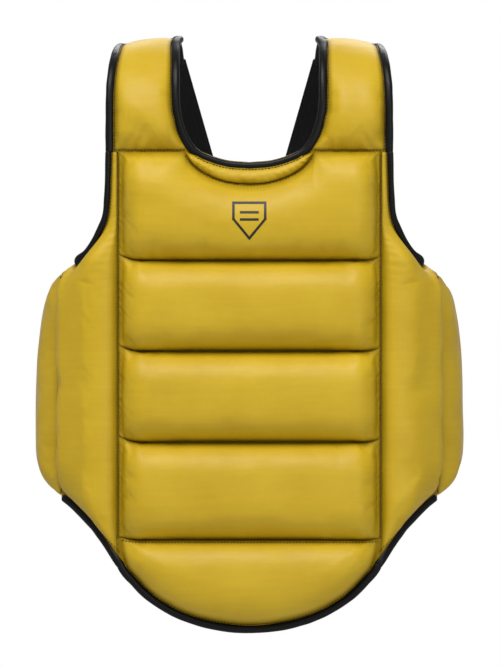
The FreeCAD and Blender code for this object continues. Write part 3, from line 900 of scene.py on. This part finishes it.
def shoulder_pad(name, side):
    across = dense_ends(1.0, 0.3, 8, 0.05)
    u = dense_ends(ARCH_END - 1.2, 16, 7, 3.2) + 0.7
    inner, outer = shoulder_in(u) + TAPE_INSET, shoulder_outer(u) - TAPE_INSET
    s = spread(inner, outer, across)
    v = np.broadcast_to(u, s.shape)
    near_in, near_out = s - inner, outer - s
    rise = crown(near_in - FLANGE, 20, 2.2) * crown(near_out - FLANGE, 20, 2.2)
    crest = crest_lift(v) / CREST_RISE
    height = (SHOULDER_HEIGHT - CREST_THINNING * crest) * rise
    height = 1.12 * height * crown(v - 0.7, 30, 2.2, 0.85) * crown(ARCH_END - v, 24, 2.2)
    inside = crown(near_in, 12) * crown(near_out, 12) * crown(v, 10) * crown(ARCH_END - v, 12)
    inside = inside * (1 - 0.7 * crest)
    height += 0.8 * waves(s, v, 34, 60 + side) * inside
    slant = s + 0.35 * v * np.sin(s / 17)
    sides = crown(near_in - FLANGE, 8) * crown(near_out - FLANGE, 8)
    height += 3.6 * puckers(slant, v, 13.0, 19.0, 62 + side) * sides
    height += 0.5 * puckers(v, near_in, 9.0, 6.0, 64 + side)
    height += 0.5 * puckers(v, near_out, 9.0, 6.0, 66 + side) + 0.6
    # Painted shade: low at the flanges and the arch's ends, where the cover's colour is painted darker.
    seam_shade_level = least(np.minimum(near_in, near_out) - FLANGE, v, ARCH_END - v) / 4
    body, place = "shoulder_" + name, on_shoulder(side)
    return pad("shoulder_pad_" + name, body, s, v, height, place, inside, seam_shade_level, side, cap=2.5)


# ======== linings and webs
LINING_EDGE = 5


def lining(name, body, s, z, edge, place, side=1):
    """The lining behind a panel: knit cloth over a thin soft layer, thinner near edges and seams."""
    fill = 0.5 + 2.1 * crown(edge - 3, 9)
    outer = place(s, z, np.full(s.shape, -0.45))
    inner = place(s, z, -0.5 - fill)
    thing = shell(name, outer, inner, stacked(s, z), knit, side)
    subdivide(thing)
    if body:
        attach(thing, body)
    return thing


def front_lining():
    """The lining behind the front, and the strip of cover behind its cross seams."""
    neck_end = float(neck_x(SHOULDER_Z))
    shoulders = np.linspace(SEAM_X - 0.4, neck_end, 26)
    right = np.concatenate([shoulders, neck_end * np.sin(np.linspace(1.45, 0, 22))])
    x = np.concatenate([-right, right[-2::-1]])
    top = np.where(np.abs(x) < neck_end, neck_z(np.abs(x)) + 1.0, SHOULDER_Z - 0.3)
    top = np.minimum(top, SHOULDER_Z - 0.3)
    s, z = ruled(x, np.full(x.shape, BELLY_Z + 0.3), top, np.linspace(0, 1, 110))
    edge = np.minimum(SEAM_X - np.abs(s), z - BELLY_Z)
    for seam in (CHEST_Z, MIDDLE_Z, LOWER_Z):
        edge = np.minimum(edge, np.abs(z - seam) + 2)
    edge = np.minimum(edge, (top[:, None] - z) - 4 * (np.abs(s) < neck_end))
    thing = lining("front_lining", "front", s, z, edge, on_front())
    s, z = ruled(x, np.full(x.shape, BELLY_Z + 4.0), top, np.linspace(0, 1, 110))
    place = on_front()
    fixed(shell("front_web", place(s, z, 0.28), place(s, z, -0.4), stacked(s, z), gold), "front", "cover")
    return thing


WEB_TURN = 0.004


def belly_web():
    steps = np.array([5.0, 2.5, 0.0, -2.5, -5.0])
    rows = [on_front()(x, BELLY_Z + steps, 0) for x in np.linspace(-SEAM_X + 0.5, SEAM_X - 0.5, 60)]
    start, end = (0, 0, (BELLY_Z + 4) * MM), (0, 0, (BELLY_Z - 4) * MM)
    hinge_web("belly_web", ("front", "belly"), rows, start, end)


def belly_lining():
    x = np.linspace(-SEAM_X + 0.6, SEAM_X - 0.6, 90)
    s, z = ruled(x, belly_hem(x, 1.0), np.full(x.shape, BELLY_Z - 0.4), np.linspace(0, 1, 34))
    hem = distance_to(s, z, hem_line(HEM_A, 160)) - LINING_EDGE
    edge = least(hem, BELLY_Z - z, SEAM_X - np.abs(s))
    return lining("belly_lining", "belly", s, z, edge, on_front())


def wing_lining(name, side):
    s, z = wing_grid(0.8)
    arm = distance_to(s, z, armhole_line) - LINING_EDGE
    hem = distance_to(s, z, wing_hem_line) - LINING_EDGE
    edge = least(s, WING_WIDTH - s, arm, hem)
    thing = lining("wing_lining_" + name, None, s, z, edge, on_wing(side), side)
    return blend_wing(thing, name, side)


def side_lining(name, side):
    s, z = side_grid(0.4)
    low, high = side_edges(s)
    edge = least(np.minimum(z - low, high - z) - LINING_EDGE, s, SIDE_WIDTH - s - LINING_EDGE)
    return lining("side_lining_" + name, "side_" + name, s, z, edge, on_side(side), side)


def shoulder_lining(name, side):
    across = np.linspace(0, 1, 24)
    u = np.linspace(0.3, ARCH_END - 0.3, 70)
    inner, outer = shoulder_in(u) + 0.8, shoulder_outer(u) - 0.8
    s = spread(inner, outer, across)
    v = np.broadcast_to(u, s.shape)
    edge = least(np.minimum(s - inner, outer - s) - LINING_EDGE, v, ARCH_END - v)
    return lining("shoulder_lining_" + name, "shoulder_" + name, s, v, edge, on_shoulder(side), side)


def hinge_web(name, bodies, rows, start=None, end=None):
    """Narrow strips of cover and of knit behind a sewn fold, so that no light shows through it.

    rows are lines of 3-D points, mm, each running across the fold at the sewing plane."""
    rows = np.asarray(rows, float)
    out = np.cross(np.gradient(rows, axis=0), np.gradient(rows, axis=1))
    out /= np.linalg.norm(out, axis=-1, keepdims=True)
    away = rows - np.array([0, 90.0, 0])
    out *= np.where((out[..., :2] * away[..., :2]).sum(-1, keepdims=True) < 0, -1, 1)
    uv = stacked(np.arange(rows.shape[0])[:, None] * 4.0, np.arange(rows.shape[1]) * 2.5)
    made = []
    layers = [("", 0.2, -0.05, gold, "cover"), ("_back", -0.15, -0.6, knit, "lining")]
    for label, high, low, stuff, slot in layers:
        thing = shell(name + label, rows + high * out, rows + low * out, uv, stuff)
        if len(bodies) == 2:
            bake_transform(thing)
            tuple(start)
            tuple(end)
        else:
            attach(thing, bodies[0])
        made.append(thing)
    return made[0]


def webs(name, side):
    """The strips behind one side's folds. Returns the one between wing and side pad."""
    steps = np.array([-5.0, -2.5, 0.0, 2.5, 5.0])
    front, wing, flank, arch = on_front(side), on_wing(side), on_side(side), on_shoulder(side)
    rounded = round_seam(side)
    heights = np.append(np.arange(BELLY_Z + 1, SHOULDER_Z - 1, 5.0), SHOULDER_Z - 0.5)
    rows = [rounded(SEAM_X + steps, z, 0) for z in heights]
    start, end = ((SEAM_X * side * MM + way * side * WEB_TURN, 0, 0) for way in (-1, 1))
    hinge_web("seam_web_" + name, ("front", "wing_" + name), rows, start, end)
    low_end = float(wing_hem_z(0.0)) + 4
    rows = [rounded(SEAM_X + steps[1:], z, -0.3) for z in np.linspace(low_end, BELLY_Z + 0.8, 6)]
    hinge_web("hem_web_" + name, ("wing_" + name,), rows)
    rows = []
    for z in np.arange(-142, 76, 5.0):
        rows.append(np.vstack([wing(WING_WIDTH + steps[:2], z, 0), flank(steps[2:], z, 0)]))
    low, high = flank(-4.0, 0, 0) * MM, flank(4.0, 0, 0) * MM
    bodies = ("wing_" + name, "side_" + name)
    fold = hinge_web("fold_web_" + name, bodies, rows, tuple(low), tuple(high))
    rows = []
    for s in np.arange(58, 147, 6.0):
        rows.append(np.vstack([front(s, SHOULDER_Z + steps[:2], 0), arch(s, steps[2:], 0)]))
    start, end = ((0, 0, SHOULDER_Z * MM + way * WEB_TURN) for way in (-1, 1))
    hinge_web("shoulder_web_" + name, ("front", "shoulder_" + name), rows, start, end)
    return fold


# ======== edge tape
TAPE = np.array([
    (8.0, 0.7), (7.5, 2.0), (5.2, 3.1), (2.8, 3.5), (0.8, 2.9), (-0.4, 1.4),
    (-0.7, -0.4), (-0.2, -1.9), (1.2, -2.8), (4.0, -3.1), (7.0, -2.5), (8.0, -1.0),
])


def tape(name, line, place, swell=None, shift=0.0, seed=0):
    """Folded edge tape, swept along a flat line whose left side is the panel.

    swell scales its section along the line."""
    path = spaced(line, 3.0)
    step = np.gradient(path, axis=0)
    step /= np.linalg.norm(step, axis=1, keepdims=True)
    inwards = stacked(-step[:, 1], step[:, 0])
    run = np.arange(len(path)) * 3.0
    random = np.random.default_rng(seed)
    uneven = 1 + 0.05 * np.interp(run, np.arange(0, 900, 9), random.uniform(-1, 1, 100))
    size = uneven if swell is None else uneven * swell(run, run[-1])
    w = 4.0 + (TAPE[:, 0] - 4.0)[None, :] * size[:, None]
    h = TAPE[:, 1][None, :] * size[:, None] + shift
    s = path[:, :1] + inwards[:, :1] * w
    z = path[:, 1:] + inwards[:, 1:] * w
    points = place(s, z, h)
    rows, columns = points.shape[:2]
    girth = np.concatenate([[0], np.cumsum(np.linalg.norm(np.diff(TAPE, axis=0), axis=1))])
    uv = stacked(girth[None, :], run[:, None]).reshape(-1, 2)
    faces = [list(f) for f in grid_faces(rows, columns, wrap=True)]
    faces.append(list(range(columns)))
    faces.append(list(range((rows - 1) * columns, rows * columns))[::-1])
    thing = new_object(name, points.reshape(-1, 3), faces, uv, tape_black)
    fix_normals(thing)
    subdivide(thing)
    return thing


def slim(scale):
    """The same smaller section all along."""
    return lambda run, total: scale + 0 * run


def armhole_end(run, total):
    """The armhole tape starts in a thick rounded knot where its end is tucked under."""
    return (0.35 + 0.65 * crown(run, 6)) * (1 + 0.65 * np.exp(-(((run - 8) / 8) ** 2)))


def crest_thin(run, total):
    """The outer shoulder tape is narrower over the top, and its far end closes to a rounded nose."""
    thin = smoothstep(112, 138, run) * (1 - smoothstep(160, 176, run))
    return (0.25 + 0.75 * crown(total - run, 7.0)) * (1 - 0.24 * thin)


def crest_knot(run, total):
    """The neck tape is bunched where it turns over the top of the shoulder."""
    return 1 + 0.38 * np.exp(-(((total - run - 140) / 8) ** 2))


OVERLAP = 1.6


def round_seam(side):
    """The front and a wing as one surface that turns softly at their seam. s is from the body's middle."""
    front, wing = on_front(side), on_wing(side)

    def place(s, z, h):
        s, z, h = np.broadcast_arrays(s, z, h)
        turn = smoothstep(SEAM_X - 5, SEAM_X + 5, np.abs(s))[..., None]
        points = front(np.abs(s), z, h) * (1 - turn) + wing(np.abs(s) - SEAM_X, z, h) * turn
        points[..., 0] *= np.where(s < 0, -1, 1)
        return points
    return place


def neck_line():
    """The neck edge on the front, from the wearer's left to right, just past both shoulder seams."""
    end = float(neck_x(SHOULDER_Z))
    x = end * np.sin(np.linspace(math.pi / 2, -math.pi / 2, 120))
    z = np.minimum(neck_z(np.abs(x)), SHOULDER_Z)
    tip = (float(neck_x(SHOULDER_Z + OVERLAP)), SHOULDER_Z + OVERLAP)
    return np.vstack([[tip], stacked(x, z), [(-tip[0], tip[1])]])


def side_outline(inset=0.0):
    """The side pad's outline from the fold's foot, round behind and back to the fold's top."""
    s = SIDE_WIDTH - (SIDE_WIDTH - 1.0) * np.cos(np.linspace(0, math.pi / 2, 90))
    low, high = side_edges(np.minimum(s, SIDE_WIDTH - 0.01))
    line = np.vstack([stacked(s, low), stacked(s, high)[::-1]])
    return offset(line, inset)


def tapes():
    """Edge tape round every open edge. Each piece but the armhole tapes has its body and, if there is one,
    its CAD solid.
    """
    piece = tape("neck_tape", neck_line(), on_front(), seed=1)
    fixed(piece, "front", "edge_tape", "tape_neck")
    piece = tape("belly_tape", hem_line(SEAM_X + 0.8, 240), round_seam(1), seed=2)
    fixed(piece, "belly", "edge_tape", "tape_belly")
    u = np.linspace(-OVERLAP, ARCH_END, 90)
    outer, inner = stacked(shoulder_outer(u), u), stacked(shoulder_in(u), u)[::-1]
    s, z = armhole_line.T
    arm = armhole_line[(s < 63) & (z < SHOULDER_Z + OVERLAP)]
    top = offset(armhole_line[(s < WING_WIDTH) & (s > 56)], 1.5)
    across = np.linspace(-OVERLAP, WING_WIDTH - 0.6, 60)
    hem = stacked(SEAM_X + across, wing_hem_z(across))
    for name, side in SIDES.items():
        arch, wing, seam, flank = on_shoulder(side), on_wing(side), round_seam(side), on_side(side)
        rows = [
            ("shoulder_tape_outer_", "shoulder_", "tape_shoulder_outer_", outer, arch, crest_thin, 0.0),
            ("shoulder_tape_inner_", "shoulder_", "tape_shoulder_inner_", inner, arch, crest_knot, 0.0),
            ("armhole_tape_", None, "tape_armhole_", arm, wing, armhole_end, 0.0),
            ("wing_top_tape_", "wing_", None, top, wing, slim(0.8), -2.0),
            ("wing_hem_tape_", "wing_", "tape_hem_", hem, seam, None, 0.0),
            ("side_tape_", "side_", "tape_side_", side_outline(1.2), flank, slim(0.85), -1.6),
        ]
        for seed, (label, body, node, line, place, swell, shift) in enumerate(rows, 3):
            piece = tape(label + name, line, place, swell, shift, seed)
            if body:
                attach(piece, body + name)
            else:
                blend_wing(piece, name, side)
            if node:
                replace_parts(piece, node + name)


# ======== stitches
STITCH_PITCH = 3.4
STITCH_WANDER = 0.12


def stitches(name, body, line, place, material=None, lift=0.0, radius=0.42):
    """A row of thread stitches along a flat line, lift above the sewing plane."""
    path = spaced(line, STITCH_PITCH)
    middle = (path[1:] + path[:-1]) / 2
    step = path[1:] - path[:-1]
    length = np.linalg.norm(step, axis=1, keepdims=True)
    along = step / length
    aside = stacked(-along[:, 1], along[:, 0])
    random = np.random.default_rng(len(path))
    middle = middle + aside * random.uniform(-STITCH_WANDER, STITCH_WANDER, (len(middle), 1))
    places = np.array([-0.40, -0.30, 0.0, 0.30, 0.40])
    thick = np.array([0.25, 0.8, 1.0, 0.8, 0.25]) * radius
    sink = np.array([-0.7, 0.0, 0.25, 0.0, -0.7]) * radius
    turns = np.arange(6) * math.pi / 3
    lift = np.broadcast_to(np.asarray(lift, float), (len(path),))
    lift = (lift[1:] + lift[:-1]) / 2
    centre = middle[:, None, :] + (along * length)[:, None, :] * places[None, :, None]
    girth = (thick[:, None] * np.cos(turns))[None, :, :, None]
    flat = centre[:, :, None, :] + aside[:, None, None, :] * girth
    h = lift[:, None, None] + (sink[:, None] + thick[:, None] * np.sin(turns))[None]
    points = place(flat[..., 0], flat[..., 1], h)
    count = points.shape[0]
    starts = range(0, count * 30, 30)
    faces = (grid_faces(5, 6, wrap=True)[None] + np.array(starts)[:, None, None]).reshape(-1, 4).tolist()
    for start in starts:
        faces.append([start + n for n in range(6)])
        faces.append([start + 24 + n for n in range(5, -1, -1)])
    uv = stacked(flat[..., 0], flat[..., 1]).reshape(-1, 2)
    thing = new_object(name, points.reshape(-1, 3), faces, uv, material or thread_gold)
    fix_normals(thing)
    if body:
        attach(thing, body)
    return thing


PROBE = 50.0
ABOVE_SURFACE = 0.25


def surface_lift(pads, line, place):
    """The height of the pads' surface, above the sewing plane, at each point of a flat line."""
    graph = bpy.context.evaluated_depsgraph_get()
    trees = [BVHTree.FromObject(thing, graph) for thing in pads]
    lifts = []
    for s, z in line:
        low, high = Vector(place(s, z, 0.0)) * MM, Vector(place(s, z, PROBE)) * MM
        way = low - high
        found = [tree.ray_cast(high, way.normalized(), way.length)[3] for tree in trees]
        reach = min([f for f in found if f is not None], default=PROBE * MM)
        lifts.append(PROBE - reach / MM + ABOVE_SURFACE)
    return np.array(lifts)


def laid(name, body, line, place, pads, material=None, radius=0.55):
    """Stitches that lie on the pads' surface."""
    path = spaced(line, STITCH_PITCH)
    return stitches(name, body, path, place, material, surface_lift(pads, path, place), radius)


def all_stitches(pads):
    """Every row of thread on the pads."""
    front = on_front()
    both = [pads["chest"], pads["roll"]]
    piece = laid("roll_stitches", "front", offset(roll_line, -1.6), front, both, radius=0.6)
    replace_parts(piece, "seam_threads")
    x = np.linspace(-SEAM_X + 4, SEAM_X - 4, 90)
    seam = stacked(x, seam_line(x, BELLY_Z) - 2.6)
    laid("belly_seam_stitches", "belly", seam, front, [pads["belly"]])
    laid("neck_stitches", "front", offset(neck_line(), 7.3), front, [pads["roll"]], thread_black)
    hem = offset(hem_line(SEAM_X - 2, 240), TAPE_ROW)
    laid("belly_stitches", "belly", hem, front, [pads["belly"]], thread_black)
    s, z = armhole_line.T
    arm = offset(armhole_line[(s < 52) & (z < SHOULDER_Z)], TAPE_ROW)
    across = np.linspace(6, WING_WIDTH - 2, 60)
    wing_hem = offset(stacked(across, wing_hem_z(across)), 12.4)
    for name, side in SIDES.items():
        wing, flank, arch = on_wing(side), on_side(side), on_shoulder(side)
        seam = stacked(SEAM_X - 0.2, np.linspace(BELLY_Z + 2, SHOULDER_Z - 3, 80))
        stitches("side_seam_stitches_" + name, "front", seam, on_front(side), lift=1.4, radius=0.6)
        body, under = "shoulder_" + name, [pads["shoulder_" + name]]
        line = stacked(np.linspace(roll_end_x, 141, 40), 1.9)
        laid("shoulder_stitches_" + name, body, line, arch, under, radius=0.6)
        u = np.linspace(1, ARCH_END - 4, 90)
        rows = [("inner_", shoulder_in(u) + TAPE_ROW), ("outer_", shoulder_outer(u) - TAPE_ROW)]
        for edge, s in rows:
            laid("shoulder_tape_stitches_" + edge + name, body, stacked(s, u), arch, under, thread_black)
        under = [pads["wing_" + name]]
        piece = laid("armhole_stitches_" + name, None, arm, wing, under, thread_black)
        blend_wing(piece, name, side)
        laid("hem_stitches_" + name, "wing_" + name, wing_hem, wing, under, radius=0.5)
        outline = side_outline(7.6)
        stitches("side_stitches_" + name, "side_" + name, outline, flank, thread_black, lift=-4.2)


# ======== back harness and belts
HARNESS_CENTRE, HARNESS_R, HARNESS_START = (-40.4, 114.6), 241.9, math.radians(50)
HARNESS_LENGTH = HARNESS_R * HARNESS_START + 64.6
HARNESS_LEAN, HARNESS_HALF, HARNESS_MEET = math.tan(math.radians(16)), 32.25, -40.0
ELASTIC, HARNESS_TUCK = 2.0, 9

# ---- depths of the layers on the back, from the straps outwards ----
STRAP_FACE, PATCH_FACE, PILE_FACE = 202.5, 204.9, 206.3
HOOK_IN, HOOK_OUT = 206.6, 208.0
GRIP_IN, GRIP_OUT = 210.15, 211.4


def on_harness(side):
    """c is across the strap, t along it from the shoulder, h outwards from its middle."""
    def place(c, t, h):
        c, t, h = np.broadcast_arrays(c, t, h)
        turn = np.maximum(HARNESS_START - t / HARNESS_R, 0)
        down = np.maximum(t - HARNESS_R * HARNESS_START, 0)
        y = HARNESS_CENTRE[0] + (HARNESS_R + h) * np.cos(turn)
        z = HARNESS_CENTRE[1] + (HARNESS_R + h) * np.sin(turn) - down
        x = np.maximum((z - HARNESS_MEET) * HARNESS_LEAN + c, 0.3)
        return stacked(x * side, y, z)
    return place


def strap(name, c, t, place, thick, side):
    """A flat woven strap with soft rounded edges."""
    half = thick / 2 * crown(np.minimum(c - c.min(), c.max() - c) + 0.15, 1.6)
    thing = shell(name, place(c, t, half), place(c, t, -half), stacked(c, t), elastic, side)
    subdivide(thing)
    return thing


def harness():
    """The two straps. Each starts a little under the shoulder's end."""
    c = dense_ends(2 * HARNESS_HALF, 4, 4, 2.6) - HARNESS_HALF
    across, along = np.meshgrid(c, np.linspace(-HARNESS_TUCK, HARNESS_LENGTH, 120), indexing="ij")
    for name, side in SIDES.items():
        thing = strap("harness_elastic_" + name, across, along, on_harness(side), ELASTIC, side)
        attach(thing, "harness")
        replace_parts(thing, "elastic_harness_" + name)


def on_back(y):
    def place(s, z, h):
        return stacked(s, y + h, z)
    return place


def flat_patch(name, body, node, low, high, corners, edge, material, slot):
    """A flat piece with a rounded edge, between two depths, in the plane of the back."""
    (x0, x1, z0), (x2, x3, z1) = corners
    across = dense_ends(1.0, 0.08, 6, 0.04)
    rows = dense_ends(1.0, 0.08, 6, 0.05)
    start = x0 + (x2 - x0) * rows
    end = x1 + (x3 - x1) * rows
    s = spread(start, end, across)
    z = np.broadcast_to(z0 + (z1 - z0) * rows, s.shape)
    round_in = crown(least(s - start, end - s, z - z0, z1 - z) + 0.1, edge)
    place = on_back(0)
    outer, inner = place(s, z, low + (high - low) * round_in), place(s, z, low)
    thing = shell(name, outer, inner, stacked(s, z), material, -1)
    subdivide(thing)
    fixed(thing, body, slot, node)


def outline_row(corners, inset):
    """Four straight rows just inside a patch's outline."""
    (x0, x1, z0), (x2, x3, z1) = corners
    left, right, low, high = x0 + inset, x1 - inset, z0 + inset, z1 - inset
    ring = [(left, low), (right, low), (x3 - inset, high), (x2 + inset, high)]
    return [np.array([ring[n], ring[(n + 1) % 4]]) for n in range(4)]


def sewn(label, body, lines, y):
    """Rows of black stitches in the plane of the back. label has a place for each row's number."""
    for number, line in enumerate(lines):
        stitches(label.format(number), body, line, on_back(y), thread_black)


def back_pieces():
    """The patch where the straps meet, its loop pile, and the rows that sew them on."""
    patch = ((-62.0, 62.0, -84.0), (-74.0, 74.0, 74.0))
    loops = ((-58.0, 58.0, -80.0), (-58.0, 58.0, -12.0))
    rows = [
        ("back_patch", STRAP_FACE, PATCH_FACE, patch, 2.2, tape_black, "webbing_patch"),
        ("pile_patch", PATCH_FACE, PILE_FACE, loops, 1.0, pile, "loop_pile"),
    ]
    for node, low, high, corners, edge, material, slot in rows:
        flat_patch(node + "_panel", "harness", node, low, high, corners, edge, material, slot)
    sewn("patch_stitches_{}", "harness", outline_row(patch, 3.5), PATCH_FACE + 0.1)
    sewn("pile_stitches_{}", "harness", outline_row(loops, 2.5), PILE_FACE + 0.05)
    lines = [((-50, a), (50, b)) for a, b in ((45, 45), (62, 62), (45, 62), (62, 45))]
    sewn("box_stitches_{}", "harness", lines, PATCH_FACE + 0.1)


BELT, BELT_LOW, BELT_HIGH, BELT_R = 2.2, -76.0, -16.0, 54.7
BELT_TURN = math.radians(95)
BELT_TUCK, BELT_END, HOOK_LENGTH, GRIP_LENGTH, END_GAP = 7, 2.0, 52.0, 18.0, 2.0
REAR = FOLD + (SIDE_WIDTH + END_GAP) * np.array([math.cos(SIDE_ANGLE), math.sin(SIDE_ANGLE)])
BELT_CENTRE = REAR + np.array([-math.sin(SIDE_ANGLE), math.cos(SIDE_ANGLE)]) * BELT_R
BELT_RUN = BELT_R * BELT_TURN
BELT_LENGTH = BELT_RUN + BELT_CENTRE[0] - BELT_END


def on_belt(side):
    """t runs along the belt from the side panel, z is height, h outwards."""
    def place(z, t, h):
        z, t, h = np.broadcast_arrays(z, t, h)
        turn = math.radians(-5) + np.clip(t, 0, BELT_RUN) / BELT_R
        x = BELT_CENTRE[0] + (BELT_R + h) * np.cos(turn) - np.maximum(t - BELT_RUN, 0)
        y = BELT_CENTRE[1] + (BELT_R + h) * np.sin(turn)
        before = np.minimum(t, 0)
        x = x + before * math.cos(SIDE_ANGLE)
        y = y + before * math.sin(SIDE_ANGLE)
        return stacked(x * side, y, z)
    return place


def belts():
    """The two waist belts, each with its hook tab and grip."""
    z = dense_ends(BELT_HIGH - BELT_LOW, 4, 4, 2.5) + BELT_LOW
    t = np.concatenate([np.linspace(-BELT_TUCK, BELT_RUN, 60), np.linspace(BELT_RUN, BELT_LENGTH, 40)[1:]])
    height, along = np.meshgrid(z, t, indexing="ij")
    for name, side in SIDES.items():
        body, place = "belt_" + name, on_belt(side)
        thing = strap("belt_elastic_" + name, height, along, place, BELT, -side)
        low, high = (tuple(place(0, t, 0) * MM) for t in (-6, 8))
        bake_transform(thing)
        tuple(low)
        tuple(high)
        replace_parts(thing, "elastic_belt_" + name)
        ends = sorted((BELT_END * side, (BELT_END + HOOK_LENGTH) * side))
        hook = ((*ends, BELT_LOW + 3), (*ends, BELT_HIGH - 3))
        label, node = "hook_patch_" + name, "hook_tab_" + name
        flat_patch(label, body, node, HOOK_IN, HOOK_OUT, hook, 0.8, hook_black, "hook_tape")
        ends = sorted((BELT_END * side, (BELT_END + GRIP_LENGTH) * side))
        grip = ((*ends, BELT_LOW), (*ends, BELT_HIGH))
        label, node = "grip_patch_" + name, "grip_tab_" + name
        flat_patch(label, body, node, GRIP_IN, GRIP_OUT, grip, 1.4, tape_black, "grip")
        sewn("grip_stitches_{}_" + name, body, outline_row(grip, 2.2), GRIP_OUT)


# ======== every piece, most of them on their bodies
def build():
    """Makes every piece. Those that stand for CAD solids say which."""
    pads = {"chest": chest_pad()}
    mark(pads["chest"])
    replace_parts(pads["chest"], "cover_front", "foam_chest")
    lines = [("upper", MIDDLE_Z, CHEST_Z), ("middle", LOWER_Z, MIDDLE_Z), ("lower", BELLY_Z, LOWER_Z)]
    for seed, (name, low, high) in enumerate(lines, 11):
        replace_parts(band("band_" + name, low, high, seed), "foam_band_" + name)
    pads["belly"], pads["roll"] = belly_pad(), neck_roll()
    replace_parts(pads["belly"], "cover_belly", "foam_belly")
    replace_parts(pads["roll"], "cover_neck_roll", "foam_neck_roll")
    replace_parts(front_lining(), "lining_front")
    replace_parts(belly_lining(), "lining_belly")
    belly_web()
    tapes()
    for name, side in SIDES.items():
        for kind, make in (("wing_", wing_pad), ("side_", side_pad), ("shoulder_", shoulder_pad)):
            panel = kind + name
            pads[panel] = make(name, side)
            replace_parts(pads[panel], "cover_" + panel, "foam_" + panel)
    all_stitches(pads)
    for name, side in SIDES.items():
        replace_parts(wing_lining(name, side), "lining_wing_" + name)
        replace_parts(side_lining(name, side), "lining_side_" + name)
        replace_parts(shoulder_lining(name, side), "lining_shoulder_" + name)
        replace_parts(webs(name, side), "seam_thread_wing_" + name)
    harness()
    back_pieces()
    belts()


# ======== floor, light and camera
def studio():
    """A pale round floor, well below the protector."""
    floor_z, radius = -0.9, 14.0
    turns = np.linspace(0, 2 * math.pi, 96, endpoint=False)
    verts = [(radius * math.cos(t) / MM, radius * math.sin(t) / MM, floor_z / MM) for t in turns]
    pale = Look("pale_ground", 0.95)
    pale.set("Base Color", (0.6, 0.6, 0.6, 1))
    pale.set("Specular IOR Level", 0.1)
    new_object("studio_ground", verts, [tuple(range(len(verts)))], None, pale.made)


def area_light(name, place, size, power, colour=(1, 1, 1)):
    """A rectangular light that points at the middle of the protector."""
    data = bpy.data.lights.new(name, "AREA")
    data.shape = "RECTANGLE"
    data.size, data.size_y = size
    data.energy = power
    data.color = colour
    thing = placed(name, data)
    thing.location = place
    thing.rotation_euler = (-Vector(place)).to_track_quat("-Z", "Y").to_euler()


def lights():
    """Three soft lights and a world that is brightest level with the protector."""
    area_light("key", (-0.5, -2.2, 3.0), (2.8, 1.9), 127, (1.0, 0.965, 0.935))
    area_light("fill", (1.8, -3.4, 0.5), (2.0, 2.0), 21)
    area_light("back", (0.4, 3.2, 2.6), (2.4, 1.6), 60)
    world = bpy.data.worlds.new("studio_world")
    bpy.context.scene.world = world
    world.use_nodes = True
    tree = world.node_tree
    direction = add_node(tree, "TexCoord", {})["Generated"]
    height = add_node(tree, "SeparateXYZ", {0: direction})["Z"]
    height = add_node(tree, "MapRange", {"Value": height, "From Min": -1})["Result"]
    below, above, level = (0.04, 0.04, 0.04, 1), (0.34, 0.34, 0.34, 1), (1, 1, 1, 1)
    stops = [(0.468, below), (0.483, level), (0.517, level), (0.532, above)]
    feed(tree, tree.nodes["Background"].inputs["Color"], add_ramp(tree, height, stops))


CAMERA_DISTANCE, VIEW_HEIGHT = 14.0, 0.6937
CAMERA_X, CAMERA_Z = 0.0007, 0.0182
SENSOR = 36


def camera():
    """A long lens, far in front and level with the protector."""
    data = bpy.data.cameras.new("camera")
    data.sensor_width = SENSOR
    data.lens = SENSOR * CAMERA_DISTANCE / VIEW_HEIGHT
    data.clip_end = 100
    thing = placed("camera", data)
    thing.location = (CAMERA_X, -CAMERA_DISTANCE, CAMERA_Z)
    thing.rotation_euler = (math.pi / 2, 0, 0)
    bpy.context.scene.camera = thing


camera()
studio()
lights()
bpy.context.scene.view_settings.view_transform = "Standard"
build()
